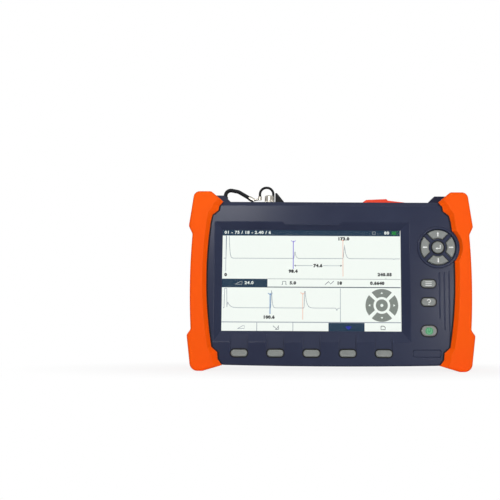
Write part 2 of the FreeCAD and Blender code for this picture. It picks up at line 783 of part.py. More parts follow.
pad(keyFixings, spots(keyScrews, "1.9"), keyBoardBack + "-1", keyBoardBack)
pad(keyFixings, spots(keyScrews, "1"), keyBoardBack, keySeat + "-1")

# Main board on standoffs behind the display
boardFront = bracketBack + "-6.3"
boardBack = boardFront + "-board_thick"
mainBoard = newBody("main_board")
pad(mainBoard, [rounded("screen_w+35", "screen_h+4", "3", "screen_x-0.5", "screen_z")],
    boardBack, boardFront)
cut(mainBoard, spots(panelScrews, "1.3"), boardFront + "+1", boardBack + "-1")
standoffs = newBody("board_standoffs")
pad(standoffs, spots(panelScrews, "2.6"), boardFront, bracketBack)
pad(standoffs, spots(panelScrews, "1.4"), bracketBack, panelBack + "+5")
cut(standoffs, spots(panelScrews, "1.25"), boardFront + "+5", boardFront + "-1")
boardFixings = newBody("board_screws")
pad(boardFixings, spots(panelScrews, "2.2"), boardBack + "-1.2", boardBack)
pad(boardFixings, spots(panelScrews, "1.2"), boardBack, boardFront + "+4.5")
can = newBody("pulse_shield_can")
pad(can, [rounded("38", "30", "2", "port_x-8", "screen_z+24")], boardFront, boardFront + "+4.6")
chips = newBody("board_chips")
pad(chips, [
    rounded("17", "17", "0.5", "screen_x+8", "screen_z+2"),
    rounded("12", "8", "0.5", "screen_x+30", "screen_z+4"),
    rounded("12", "8", "0.5", "screen_x+30", "screen_z-8"),
], boardFront, boardFront + "+2")
beeper = newBody("beeper")
pad(beeper, [circle("screen_x+screen_w/2-7", "screen_z-24", "6")], boardFront, boardFront + "+4.2")
ribbon = newBody("display_cable")
pad(ribbon, [[
    ("-(%s)" % panelBack, "screen_z-28"),
    ("-(%s)" % panelBack, "screen_z-31"),
    ("-(%s)" % boardFront, "screen_z-23"),
    ("-(%s)" % boardFront, "screen_z-20"),
    ("-(%s)-0.3" % boardFront, "screen_z-20"),
    ("-(%s)-0.3" % boardFront, "screen_z-22.8"),
    ("-(%s)+0.3" % panelBack, "screen_z-30.6"),
    ("-(%s)+0.3" % panelBack, "screen_z-28"),
]], "screen_x-14", "screen_x+6", plane="YZ_Plane")

# Battery, door and fastenings
battery = newBody("battery_pack")
batteryFront = "-2.7"
pad(battery, [rounded("battery_w", "battery_h", "4", "0", "battery_z")],
    batteryFront + "-battery_thick", batteryFront)
doorSeal = newBody("door_seal")
sealW, sealH = "battery_w+6.2", "battery_h+5"
doorBack = "0.6+door_thick-face_front"
pad(doorSeal, [
    rounded(sealW, sealH, "3.2", "0", "battery_z"),
    rounded(sealW + "-2.6", sealH + "-2.4", "2.4", "0", "battery_z"),
], "door_thick-face_front", doorBack)
cut(doorSeal, spots(doorScrews, "1.7"), doorBack + "+1", "door_thick-face_front-1")
door = newBody("battery_door")
pad(door, [rounded(doorW + "-0.8", doorH + "-0.8", "3.6", "0", "battery_z")],
    "-face_front", "door_thick-face_front")
cut(door, spots(doorScrews, "1.35"), "door_thick-face_front+1", "-face_front-1")
cut(door, spots(doorScrews, "2.7"), "0.9-face_front", "-face_front-1")
doorFixings = newBody("door_screws")
pad(doorFixings, spots(doorScrews, "2.5"), "-face_front", "0.9-face_front")
pad(doorFixings, spots(doorScrews, "1.2"), "0.9-face_front", doorIn + "+7")
caseFixings = newBody("housing_screws")
pad(caseFixings, spots(caseScrews, "3"), "0.8-face_front", "4-face_front")
pad(caseFixings, spots(caseScrews, "1.5"), "4-face_front", "12")

# Tilt stand folded into the back, turning on a steel pin
stand = newBody("tilt_stand")
hingeOut = "-(%s)" % standHinge
pad(stand, [rect("face_front-stand_thick", "stand_axis_z-stand_length", "face_front", "stand_axis_z")],
    "-stand_half", "stand_half", plane="YZ_Plane")
standEnd = "stand_axis_z-stand_length"
soften("Fillet", stand, "6", lambda ends, middle: all(
    near(spot.z, value(standEnd)) and near(abs(spot.x), value("stand_half"))
    for spot in ends + [middle]))
pad(stand, [circle(hingeOut, "stand_axis_z", "2.9")], "-stand_half", "stand_half",
    plane="YZ_Plane")
cut(stand, [rounded("2*stand_half-16", "stand_length-18", "3", "0", standEnd + "+stand_length/2-4")],
    "1.2-face_front", "-face_front-1")
cut(stand, [circle(hingeOut, "stand_axis_z", "pin_radius+0.1")],
    "stand_half+1", "-stand_half-1", plane="YZ_Plane")
standPin = newBody("stand_pin")
pad(standPin, [circle(hingeOut, "stand_axis_z", "pin_radius")],
    "-(%s)" % pinHalf, pinHalf, plane="YZ_Plane")

# Test port: jack through the top wall with nut, insulator, contact and screwed cap
portAt, portLift = ("port_x", "0"), "-port_depth"
wallTop, wallFoot = bayFloor, innerTop
jack = newBody("test_port")
jackTop, jackFoot = "cap_top-2.4", wallFoot + "-10"
spin(jack, [
    ("1.9", jackTop),
    ("1.9", wallFoot + "-6"),
    ("0.75", wallFoot + "-6"),
    ("0.75", jackFoot),
    ("2.4", jackFoot),
    ("2.4", wallFoot + "-2.6"),
    ("5.6", wallFoot + "-2.6"),
    ("5.6", wallFoot),
    ("barrel_radius", wallFoot),
    ("barrel_radius", jackTop),
], portAt, portLift)
insulator = newBody("port_insulator")
spin(insulator, [
    ("0.7", wallFoot + "-6"),
    ("1.9", wallFoot + "-6"),
    ("1.9", jackTop + "-3.5"),
    ("0.7", jackTop + "-3.5"),
], portAt, portLift)
contact = newBody("port_contact")
spin(contact, [
    ("0", jackFoot + "-2"),
    ("0.7", jackFoot + "-2"),
    ("0.7", jackTop + "-2.6"),
    ("0.35", jackTop + "-1.8"),
    ("0", jackTop + "-1.8"),
], portAt, portLift)
nut = newBody("port_nut")
hexReach = "(barrel_radius+1.5)"
pad(nut, [
    [("port_x+%s*cos(%d deg)" % (hexReach, turn), "port_depth+%s*sin(%d deg)" % (hexReach, turn))
     for turn in range(0, 360, 60)],
    circle("port_x", "port_depth", "barrel_radius+0.05"),
], wallTop, wallTop + "+1.8", plane="XY_Plane")
cap = newBody("dust_cap")
capFoot = wallTop + "+2.9"
spin(cap, [
    ("0", "cap_top"),
    ("0", "cap_top-1.2"),
    ("barrel_radius+0.25", "cap_top-1.2"),
    ("barrel_radius+0.25", capFoot),
    ("cap_radius", capFoot),
    ("cap_radius", "cap_top-1.5", ("1.5", 1)),
    ("cap_radius-1.5", "cap_top"),
], portAt, portLift)

# Cap tether: ring under the cap, wire loop, crimp and rubber arm from behind the left shoulder
loopRight, loopLeft = "port_x+3.5", "port_x-9"
ring = newBody("cap_ring")
ringFoot, ringTopZ = wallTop + "+1.8", wallTop + "+2.6"
pad(ring, [circle("port_x", "port_depth", "cap_radius+0.4"),
           circle("port_x", "port_depth", "barrel_radius+0.2")],
    ringFoot, ringTopZ, plane="XY_Plane")
pad(ring, [rounded("3.4", "tether_depth-port_depth-1.3", "1.2", loopRight,
                   "(port_depth+tether_depth+4.7)/2")],
    ringFoot, ringTopZ, plane="XY_Plane")
pad(ring, [circle(loopRight, "tether_depth", "1.4")], ringTopZ, wallTop + "+4.6", plane="XY_Plane")


def point(x, z):
    return V(value(x), value("tether_depth"), value(z))


def tube(name, stops, radius, bend):
    route = []
    here = stops[0]
    for corner, after in zip(stops[1:-1], stops[2:]):
        inward = (corner - here).normalize()
        onward = (after - corner).normalize()
        trim = bend * math.tan(inward.getAngle(onward) / 2)
        first, last = corner - inward * trim, corner + onward * trim
        centre = corner + (onward - inward).normalize() * math.hypot(trim, bend)
        middle = centre + (corner - centre).normalize() * bend
        route += [Part.makeLine(here, first), Part.Arc(first, middle, last).toShape()]
        here = last
    route.append(Part.makeLine(here, stops[-1]))
    wire = Part.Wire(route)
    profile = Part.Wire(Part.makeCircle(radius, stops[0], stops[1] - stops[0]))
    node = doc.addObject("Part::Feature", name)
    node.Label = name
    node.Shape = wire.makePipeShell([profile], True, False)
    print(name, "length %.1f" % wire.Length, "radius %.2f" % bend)
    return node


tetherY = value("tether_depth")
leftX, rightX = value(loopLeft), value(loopRight)
crimpHead = value(wallTop + "+10")
tube("cap_loop", [point(loopLeft, wallTop + "+10"), point(loopLeft, wallTop + "+18.4"),
                  point(loopRight, wallTop + "+18.4"), point(loopRight, wallTop + "+4.6")],
     value("loop_radius"), (rightX - leftX) * 0.49)
armX = "-(%s)-0.6" % rearShoulder
glandHeight = "9.6"
gland = doc.addObject("Part::Cone", "tether_gland")
gland.Label = "tether_gland"
gland.Radius1 = 2.8
gland.setExpression("Radius2", bound("arm_radius+0.4"))
gland.setExpression("Height", bound(glandHeight))
gland.setExpression("Placement.Base.x", bound(armX))
gland.setExpression("Placement.Base.y", bound("tether_depth"))
gland.setExpression("Placement.Base.z", bound(wallTop))
armBend, armEnd = point(armX + "+12", wallTop + "+14.4"), point(armX + "+22", wallTop + "+8.6")
tube("tether_arm", [point(armX, wallTop + "+" + glandHeight), point(armX, wallTop + "+16.7"),
                    armBend, armEnd], value("arm_radius"), 5)
down = (armEnd - armBend).normalize()
ferruleEnd = armEnd + down * 5.4
ferrule = Part.makeCylinder(2.2, 5.4, armEnd, down)
crimpFoot = V(leftX, tetherY, crimpHead - 3.4)
linkStart = ferruleEnd - down * 0.8
linkEnd = crimpFoot + V(0.6, 0, 1.2)
link = Part.makeCylinder(0.9, (linkEnd - linkStart).Length, linkStart, linkEnd - linkStart)
crimpBody = Part.makeCylinder(1.9, 3.4, crimpFoot, V(0, 0, 1))
crimp = doc.addObject("Part::Feature", "tether_crimp")
crimp.Label = "tether_crimp"
crimp.Shape = ferrule.fuse([link, crimpBody]).removeSplitter()

# Auxiliary jack with its pull-out rubber plug
aux = newBody("aux_jack")
pad(aux, [circle(auxX, auxY, "3"), circle(auxX, auxY, "1.9")], innerTop + "-9", innerTop,
    plane="XY_Plane")
plug = newBody("aux_plug")
pad(plug, [[
    (auxX + "-4.5", wallTop + "+0.05"),
    (auxX + "+4.9", wallTop + "+0.05"),
    (auxX + "+4.9", wallTop + "+3.3"),
    (auxX + "-2.9", wallTop + "+12.9"),
    (auxX + "-4.5", wallTop + "+12.9"),
]], "-(%s)-3.6" % auxY, "3.6-(%s)" % auxY)
pad(plug, [circle(auxX, auxY, "1.75")], innerTop + "-5", wallTop + "+0.5", plane="XY_Plane")

# Ports under the hinged cover
io = newBody("io_board")
ioFoot = ioTop + "-1.6"
pad(io, [rounded("cover_w+1", "cover_d-3", "1.5", "cover_x", coverMid)], ioFoot, ioTop,
    plane="XY_Plane")
cut(io, spots(ioPosts, "1"), ioTop + "+1", ioFoot + "-1", plane="XY_Plane")
ioFixings = newBody("io_screws")
pad(ioFixings, spots(ioPosts, "1.8"), ioFoot + "-1", ioFoot, plane="XY_Plane")
pad(ioFixings, spots(ioPosts, "0.9"), ioFoot, ioTop + "+5", plane="XY_Plane")
hostX, deviceX, chargerX = "cover_x-9.2", "cover_x+2.6", "cover_x+11.6"
portTop = wallFoot + "+0.6"
host = newBody("usb_host_port")
pad(host, [rounded("13.2", "5.8", "0.6", hostX, coverMid)], ioTop, portTop, plane="XY_Plane")
cut(host, [rounded("12.4", "5", "0.4", hostX, coverMid)], portTop + "+1", portTop + "-10",
    plane="XY_Plane")
pad(host, [rect(hostX + "-5.6", coverMid + "-1.8", hostX + "+5.6", coverMid + "+0.1")],
    portTop + "-10.2", portTop + "-0.8", plane="XY_Plane")
device = newBody("usb_device_port")
pad(device, [rounded("7.8", "4.2", "0.6", deviceX, coverMid)], ioTop, portTop, plane="XY_Plane")
cut(device, [rounded("7", "3.4", "0.4", deviceX, coverMid)], portTop + "+1", portTop + "-6",
    plane="XY_Plane")
pad(device, [rect(deviceX + "-2.6", coverMid + "-0.5", deviceX + "+2.6", coverMid + "+0.4")],
    portTop + "-6.2", portTop + "-0.8", plane="XY_Plane")
charger = newBody("charger_jack")
pad(charger, [circle(chargerX, coverMid, "4.2")], ioTop, portTop, plane="XY_Plane")
cut(charger, [circle(chargerX, coverMid, "2.8")], portTop + "+1", portTop + "-9.5",
    plane="XY_Plane")
pad(charger, [circle(chargerX, coverMid, "1")], portTop + "-9.7", portTop + "-1",
    plane="XY_Plane")
cover = newBody("port_cover")
coverFoot = wallTop + "+0.1"
coverTop = wallTop + "+cover_thick"
coverLeft, coverRight = "cover_x-cover_w/2", "cover_x+cover_w/2"
coverFront, coverBack = coverMid + "-cover_d/2", coverMid + "+cover_d/2"
pad(cover, [[
    (coverLeft, coverFoot),
    (coverRight, coverFoot),
    (coverRight, coverTop + "-2.5"),
    ("cover_x+1.4", coverTop),
    ("cover_x+0.1", coverTop + "+cover_tab"),
    (coverLeft + "+4.6", coverTop + "+cover_tab*0.4"),
    (coverLeft, coverTop + "-2.8"),
]], "-(%s)" % coverBack, "-(%s)" % coverFront)
coverSides = (value(coverLeft), value(coverRight))
soften("Fillet", cover, "3", lambda ends, middle: all(
    near(abs(middle.x - coverSides[0]) * abs(middle.x - coverSides[1]), 0) and
    not near(ends[0].z, ends[1].z) for spot in ends))
coverFace = value(coverFront)
soften("Fillet", cover, "1.2", lambda ends, middle: near(middle.y, coverFace) and
       middle.z > value(coverTop) - 2 and not near(ends[0].x, ends[1].x))
pad(cover, [rounded(slotW + "-1", slotD + "-1.8", "1.5", "cover_x", coverMid + "+0.2")],
    wallTop + "-1.6", coverFoot + "+0.5", plane="XY_Plane")
pad(cover, [[
    (hingeY + "-2.6", coverFoot + "+0.5"),
    (hingeY, coverFoot + "+0.5"),
    (hingeY, hingeZ + "+1.5"),
    (hingeY + "-2.6", hingeZ + "+1.5"),
]], "cover_x-(%s)+0.3" % earIn, "cover_x+%s-0.3" % earIn, plane="YZ_Plane")
pad(cover, [circle(hingeY, hingeZ, "1.7")], "cover_x-(%s)+0.3" % earIn,
    "cover_x+%s-0.3" % earIn, plane="YZ_Plane")
cut(cover, [circle(hingeY, hingeZ, "0.9")], "cover_x+" + earIn, "cover_x-(%s)" % earIn,
    plane="YZ_Plane")
coverPin = newBody("cover_pin")
pad(coverPin, [circle(hingeY, hingeZ, "0.8")], "cover_x-(%s)" % earOut, "cover_x+" + earOut,
    plane="YZ_Plane")

doc.recompute()
for item in doc.Objects:
    if "Invalid" in item.State or "Error" in item.State:
        raise RuntimeError("feature failed: " + item.Label)

nodes = [item for item in doc.Objects if item.TypeId == "PartDesign::Body"]
nodes += [item for item in doc.Objects if item.TypeId in ("Part::Feature", "Part::Cone")]
os.makedirs("parts", exist_ok=True)
for node in nodes:
    if node.Shape.isNull() or not node.Shape.isValid():
        raise RuntimeError("shape failed: " + node.Label)
    node.Shape.exportStep("parts/%s.step" % node.Label)
    box = node.Shape.BoundBox
    print("%-18s solids %2d  volume %9.1f  x %.1f..%.1f  y %.1f..%.1f  z %.1f..%.1f" % (
        node.Label, len(node.Shape.Solids), node.Shape.Volume,
        box.XMin, box.XMax, box.YMin, box.YMax, box.ZMin, box.ZMax))
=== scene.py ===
import math

import bmesh
import bpy
from mathutils import Matrix, Vector


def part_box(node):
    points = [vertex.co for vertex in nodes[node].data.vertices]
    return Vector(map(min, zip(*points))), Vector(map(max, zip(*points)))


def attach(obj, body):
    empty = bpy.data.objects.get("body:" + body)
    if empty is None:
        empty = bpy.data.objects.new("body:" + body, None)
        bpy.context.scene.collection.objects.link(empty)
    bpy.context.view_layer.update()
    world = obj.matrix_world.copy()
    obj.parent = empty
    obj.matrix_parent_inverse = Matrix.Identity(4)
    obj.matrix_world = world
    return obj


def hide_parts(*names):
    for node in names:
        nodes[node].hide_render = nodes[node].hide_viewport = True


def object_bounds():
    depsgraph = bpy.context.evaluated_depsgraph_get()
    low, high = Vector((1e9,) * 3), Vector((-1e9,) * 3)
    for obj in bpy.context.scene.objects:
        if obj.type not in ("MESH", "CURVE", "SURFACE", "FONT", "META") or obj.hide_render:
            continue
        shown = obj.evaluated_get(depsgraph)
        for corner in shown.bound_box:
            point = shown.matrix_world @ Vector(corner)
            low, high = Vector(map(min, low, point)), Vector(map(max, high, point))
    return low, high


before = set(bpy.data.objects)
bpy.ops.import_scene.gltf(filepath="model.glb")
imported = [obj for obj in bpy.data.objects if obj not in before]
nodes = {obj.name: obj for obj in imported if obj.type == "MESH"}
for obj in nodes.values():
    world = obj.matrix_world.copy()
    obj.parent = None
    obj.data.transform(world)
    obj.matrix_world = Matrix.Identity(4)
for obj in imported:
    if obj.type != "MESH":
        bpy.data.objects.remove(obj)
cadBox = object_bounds()
scene = bpy.context.scene
mm = 0.001
print("frame loaded:", len(nodes), "nodes")


def linear(hexText):          # sRGB hex to the linear colour that shaders work in
    channels = []
    for start in (1, 3, 5):
        c = int(hexText[start:start + 2], 16) / 255
        channels.append(c / 12.92 if c <= 0.04045 else ((c + 0.055) / 1.055) ** 2.4)
    return (*channels, 1.0)


def addNode(tree, kind, inputs=None, **settings):
    node = tree.nodes.new(kind)
    for name, setting in settings.items():
        setattr(node, name, setting)
    for name, given in (inputs or {}).items():
        if isinstance(given, bpy.types.NodeSocket):
            tree.links.new(given, node.inputs[name])
        else:
            node.inputs[name].default_value = given
    return node


# Every finish starts here: an empty tree with Object coordinates and one Principled shader.
def newFinish(name, **sockets):
    material = bpy.data.materials.new(name)
    material.use_nodes = True
    tree = material.node_tree
    tree.nodes.clear()
    shader = addNode(tree, "ShaderNodeBsdfPrincipled", sockets)
    addNode(tree, "ShaderNodeOutputMaterial", {"Surface": shader.outputs["BSDF"]})
    place = addNode(tree, "ShaderNodeTexCoord").outputs["Object"]
    return material, tree, shader, place


noiseBand = (0.3, 0.7)        # the part of a noise's range that colour and gloss are spread over
edgeTurn = (0.995, 0.80)      # cosines between face and rounded edge, from untouched to fully rubbed
edgeSamples = 6
upright = (math.pi / 2, 0.0, 0.0)       # turns a flat pattern onto a face that looks along Y


# Soft patches that run from a finish's dark colour to its light one.
def cloudedTint(tree, place, look, detail):
    cloud = addNode(tree, "ShaderNodeTexNoise", {
        "Vector": place, "Scale": 1 / (look["cloudMm"] * mm), "Detail": detail})
    tint = addNode(tree, "ShaderNodeValToRGB", {"Fac": cloud.outputs["Fac"]})
    for i, colour in enumerate((look["dark"], look["light"])):
        tint.color_ramp.elements[i].position = noiseBand[i]
        tint.color_ramp.elements[i].color = linear(colour)
    return cloud.outputs["Fac"], tint.outputs["Color"]


# Moulded skin: clouded colour, uneven gloss, fine grain, rounded edges that are rubbed a little paler.
def mouldedSkin(name, look):
    material, tree, shader, place = newFinish(
        name, **{"IOR": look["ior"], "Specular IOR Level": look["specular"]})
    cloud, tint = cloudedTint(tree, place, look, detail=3.0)
    grain = addNode(tree, "ShaderNodeTexNoise", {
        "Vector": place, "Scale": 1 / (look["grainMm"] * mm), "Detail": 2.0})
    edge = addNode(tree, "ShaderNodeBevel", {"Radius": look["edgeMm"] * mm}, samples=edgeSamples)
    flat = addNode(tree, "ShaderNodeNewGeometry")
    turned = addNode(tree, "ShaderNodeVectorMath", {
        0: edge.outputs["Normal"], 1: flat.outputs["Normal"]}, operation="DOT_PRODUCT")
    rubbed = addNode(tree, "ShaderNodeMapRange", {
        "Value": turned.outputs["Value"], "From Min": edgeTurn[0], "From Max": edgeTurn[1],
        "To Min": 0.0, "To Max": look["rub"]})
    worn = addNode(tree, "ShaderNodeMix", {
        "Factor": rubbed.outputs["Result"], 6: tint, 7: linear(look["rubbed"])}, data_type="RGBA")
    gloss = addNode(tree, "ShaderNodeMapRange", {
        "Value": cloud, "From Min": noiseBand[0], "From Max": noiseBand[1],
        "To Min": look["rough"][0], "To Max": look["rough"][1]})
    rough = gloss.outputs["Result"]
    if "coarse" in look:      # duller behind the front face
        axes = addNode(tree, "ShaderNodeSeparateXYZ", {"Vector": place})
        behind = addNode(tree, "ShaderNodeMapRange", {
            "Value": axes.outputs["Y"], "From Min": look["coarse"]["fromMm"] * mm,
            "From Max": look["coarse"]["toMm"] * mm, "To Min": 0.0, "To Max": look["coarse"]["adds"]})
        duller = addNode(tree, "ShaderNodeMath", {0: rough, 1: behind.outputs["Result"]}, operation="ADD")
        rough = duller.outputs["Value"]
    bump = addNode(tree, "ShaderNodeBump", {
        "Height": grain.outputs["Fac"], "Strength": look["bump"],
        "Distance": look["depthMm"] * mm, "Normal": edge.outputs["Normal"]})
    tree.links.new(worn.outputs[2], shader.inputs["Base Color"])
    tree.links.new(rough, shader.inputs["Roughness"])
    tree.links.new(bump.outputs["Normal"], shader.inputs["Normal"])
    return material


# PC/ABS housing, moulded in a spark-eroded tool: dark navy with a wide, low sheen. The tool is eroded
# more coarsely behind the front face, so bezel, ramps and chamfer are duller than the face.
pcAbsNavy = mouldedSkin("pc_abs_navy", {
    "dark": "#292E44", "light": "#2F354B", "rubbed": "#5F667E", "rub": 0.55,
    "ior": 1.53, "specular": 0.096, "rough": (0.21, 0.25),
    "cloudMm": 55.0, "grainMm": 0.6, "bump": 0.25, "depthMm": 0.05, "edgeMm": 0.5,
    "coarse": {"fromMm": -25.92, "toMm": -25.7, "adds": 0.22}})

# Thermoplastic elastomer, moulded over the ends: matt, even, strongly coloured.
tpeOrange = mouldedSkin("tpe_orange", {
    "dark": "#FF5500", "light": "#FF5D02", "rubbed": "#FF8945", "rub": 0.5,
    "ior": 1.49, "specular": 0.096, "rough": (0.5, 0.6),
    "cloudMm": 60.0, "grainMm": 0.8, "bump": 0.2, "depthMm": 0.05, "edgeMm": 0.7})

# The port lid is a softer grade in a redder orange.
tpeRed = mouldedSkin("tpe_red", {
    "dark": "#FF3D16", "light": "#FF4A1E", "rubbed": "#FF8457", "rub": 0.4,
    "ior": 1.49, "specular": 0.4, "rough": (0.55, 0.65),
    "cloudMm": 25.0, "grainMm": 0.6, "bump": 0.2, "depthMm": 0.04, "edgeMm": 0.4})

# Silicone keys: mid grey, matt, a soft rounded rim.
siliconeGrey = mouldedSkin("silicone_grey", {
    "dark": "#7E827F", "light": "#8A8E8B", "rubbed": "#C6CAC4", "rub": 0.6,
    "ior": 1.41, "specular": 0.4, "rough": (0.45, 0.55),
    "cloudMm": 12.0, "grainMm": 0.4, "bump": 0.15, "depthMm": 0.03, "edgeMm": 0.5})

# EPDM seals, plug and tether: near black, dull, slightly grey where they bend.
epdmBlack = mouldedSkin("epdm_black", {
    "dark": "#17181B", "light": "#1F2023", "rubbed": "#303236", "rub": 0.4,
    "ior": 1.5, "specular": 0.128, "rough": (0.48, 0.6),
    "cloudMm": 8.0, "grainMm": 0.3, "bump": 0.2, "depthMm": 0.02, "edgeMm": 0.2})

# Nylon and PBT inner mouldings: black, a little glossier than the rubber.
nylonBlack = mouldedSkin("nylon_black", {
    "dark": "#1A1B1E", "light": "#222327", "rubbed": "#44454A", "rub": 0.4,
    "ior": 1.53, "specular": 0.45, "rough": (0.35, 0.45),
    "cloudMm": 10.0, "grainMm": 0.3, "bump": 0.15, "depthMm": 0.02, "edgeMm": 0.15})

# PTFE in the socket: milky white, waxy.
ptfeWhite = mouldedSkin("ptfe_white", {
    "dark": "#E4E2DA", "light": "#EFEDE6", "rubbed": "#F6F5F0", "rub": 0.3,
    "ior": 1.36, "specular": 0.4, "rough": (0.35, 0.45),
    "cloudMm": 5.0, "grainMm": 0.2, "bump": 0.1, "depthMm": 0.01, "edgeMm": 0.1})

# Shrink-wrapped cells: a dull blue film.
filmBlue = mouldedSkin("shrink_film_blue", {
    "dark": "#26406B", "light": "#2F4D7D", "rubbed": "#5A77A6", "rub": 0.3,
    "ior": 1.55, "specular": 0.5, "rough": (0.25, 0.35),
    "cloudMm": 15.0, "grainMm": 2.0, "bump": 0.15, "depthMm": 0.05, "edgeMm": 0.5})


# Pad-printed ink: a thin, even film that is hardly worn.
def padPrint(name, dark, light):
    return mouldedSkin(name, {
        "dark": dark, "light": light, "rubbed": light, "rub": 0.1,
        "ior": 1.5, "specular": 0.4, "rough": (0.4, 0.5),
        "cloudMm": 2.0, "grainMm": 0.3, "bump": 0.1, "depthMm": 0.01, "edgeMm": 0.05})


whitePrint = padPrint("pad_print_white", "#E2E4E2", "#ECEEEC")
greenPrint = padPrint("pad_print_green", "#288A52", "#33A064")
palePrint = padPrint("pad_print_pale_green", "#74AC88", "#7DB490")


# Metal: turned or stamped, with fine tool lines and tarnish in soft patches.
def metalSkin(name, look):
    material, tree, shader, place = newFinish(name, Metallic=1.0)
    _, tint = cloudedTint(tree, place, look, detail=4.0)
    stretch = addNode(tree, "ShaderNodeMapping", {"Vector": place, "Scale": look["lines"]})
    lines = addNode(tree, "ShaderNodeTexNoise", {
        "Vector": stretch.outputs["Vector"], "Scale": 1 / (look["lineMm"] * mm), "Detail": 2.0})
    gloss = addNode(tree, "ShaderNodeMapRange", {
        "Value": lines.outputs["Fac"], "From Min": noiseBand[0], "From Max": noiseBand[1],
        "To Min": look["rough"][0], "To Max": look["rough"][1]})
    edge = addNode(tree, "ShaderNodeBevel", {"Radius": look["edgeMm"] * mm}, samples=edgeSamples)
    bump = addNode(tree, "ShaderNodeBump", {
        "Height": lines.outputs["Fac"], "Strength": look["bump"],
        "Distance": look["depthMm"] * mm, "Normal": edge.outputs["Normal"]})
    tree.links.new(tint, shader.inputs["Base Color"])
    tree.links.new(gloss.outputs["Result"], shader.inputs["Roughness"])
    tree.links.new(bump.outputs["Normal"], shader.inputs["Normal"])
    return material


# Stainless steel screws and pins: rolled and turned, cool grey.
steelGrey = metalSkin("stainless_steel", {
    "dark": "#7E8081", "light": "#9A9C9D", "rough": (0.26, 0.38), "bump": 0.12, "depthMm": 0.01,
    "cloudMm": 6.0, "lineMm": 0.3, "lines": (1.0, 1.0, 0.1), "edgeMm": 0.15})

# Nickel-plated brass: bright, slightly warm, it mirrors the lamps in upright bands.
nickelBright = metalSkin("nickel_plate", {
    "dark": "#8F8B83", "light": "#B3AFA6", "rough": (0.18, 0.3), "bump": 0.12, "depthMm": 0.01,
    "cloudMm": 5.0, "lineMm": 0.25, "lines": (0.15, 0.15, 1.0), "edgeMm": 0.2})

# Gold flash on the contacts: yellow and bright.
goldFlash = metalSkin("gold_flash", {
    "dark": "#D8A94A", "light": "#E8BE62", "rough": (0.18, 0.28), "bump": 0.12, "depthMm": 0.01,
    "cloudMm": 3.0, "lineMm": 0.2, "lines": (1.0, 1.0, 0.2), "edgeMm": 0.1})


# FR-4 boards: green mask over copper lines, which show as paler tracks on a 2.5 mm grid.
def circuitBoard(name, look):
    material, tree, shader, place = newFinish(name, Roughness=look["rough"], IOR=look["ior"])
    turned = addNode(tree, "ShaderNodeMapping", {"Vector": place, "Rotation": upright})
    tracks = addNode(tree, "ShaderNodeTexBrick", {
        "Vector": turned.outputs["Vector"], "Scale": 1.0, "Color1": linear(look["mask"]),
        "Color2": linear(look["maskPale"]), "Mortar": linear(look["track"]),
        "Mortar Size": look["trackMm"] * mm, "Brick Width": look["gridMm"] * 2 * mm,
        "Row Height": look["gridMm"] * mm})
    tree.links.new(tracks.outputs["Color"], shader.inputs["Base Color"])
    return material


fr4Green = circuitBoard("fr4_green", {
    "mask": "#14502F", "maskPale": "#18593A", "track": "#2E7A4E", "gridMm": 2.5, "trackMm": 0.18,
    "rough": 0.34, "ior": 1.55})


# Acrylic with a hard anti-glare coat: clear and quiet, with faint wiping marks in its gloss.
# The coat takes most of the reflection away, so the index is set well under that of bare acrylic.
def clearAcrylic(name, look):
    material, tree, shader, place = newFinish(name, **{
        "Base Color": linear(look["tint"]), "Transmission Weight": 1.0, "IOR": look["ior"]})
    smear = addNode(tree, "ShaderNodeTexNoise", {
        "Vector": place, "Scale": 1 / (look["smearMm"] * mm), "Detail": 4.0})
    gloss = addNode(tree, "ShaderNodeMapRange", {
        "Value": smear.outputs["Fac"], "From Min": look["smeared"][0], "From Max": look["smeared"][1],
        "To Min": look["rough"][0], "To Max": look["rough"][1]})
    tree.links.new(gloss.outputs["Result"], shader.inputs["Roughness"])
    return material


acrylicClear = clearAcrylic("hard_coated_acrylic", {
    "tint": "#FBFDFC", "ior": 1.12, "smearMm": 18.0, "smeared": (0.35, 0.7), "rough": (0.02, 0.06)})

# The lit picture is a little larger than the panel's cells, so that it fills the opening seen from the left.
# The real cells are a third as wide; they are drawn coarser so that a near view shows them.
screen = {"width": 154.1, "height": 85.9, "overX": 3.1, "overZ": 2.5, "nudge": 0.9, "step": 0.02,
          "white": "#FAFEF9", "gap": "#F0F6F1", "frame": "#0B0C0E", "unlit": "#08090B",
          "cellMm": 0.56, "gapMm": 0.05, "gapShare": 0.88, "margin": 4.0, "skin": 0.1,
          "rough": 0.5, "specular": 0.05}
windowLow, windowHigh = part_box("display_window")
screenX = (windowLow.x + windowHigh.x) / 2 / mm
screenZ = (windowLow.z + windowHigh.z) / 2 / mm
pictureW = screen["width"] + screen["overX"]
pictureH = screen["height"] + screen["overZ"]
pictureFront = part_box("lcd_panel")[0].y / mm


def cellGrid(tree, place, colour, gapColour):
    turned = addNode(tree, "ShaderNodeMapping", {"Vector": place, "Rotation": upright})
    cells = addNode(tree, "ShaderNodeTexBrick", {
        "Vector": turned.outputs["Vector"], "Scale": 1.0, "Color1": colour, "Color2": colour,
        "Mortar": gapColour, "Mortar Size": screen["gapMm"] * mm,
        "Brick Width": screen["cellMm"] * mm, "Row Height": screen["cellMm"] * mm}, offset=0.0)
    return cells.outputs["Color"]


# Liquid crystal cells with the lamp behind: they glow in their own colour, with a faint grid of cells.
def litCells(name, colour):
    material, tree, shader, place = newFinish(name, **{
        "Base Color": linear(screen["unlit"]), "Roughness": screen["rough"],
        "Specular IOR Level": screen["specular"], "Emission Strength": 1.0})
    gapColour = [channel * screen["gapShare"] for channel in linear(colour)[:3]] + [1.0]
    tree.links.new(cellGrid(tree, place, linear(colour), gapColour), shader.inputs["Emission Color"])
    return material


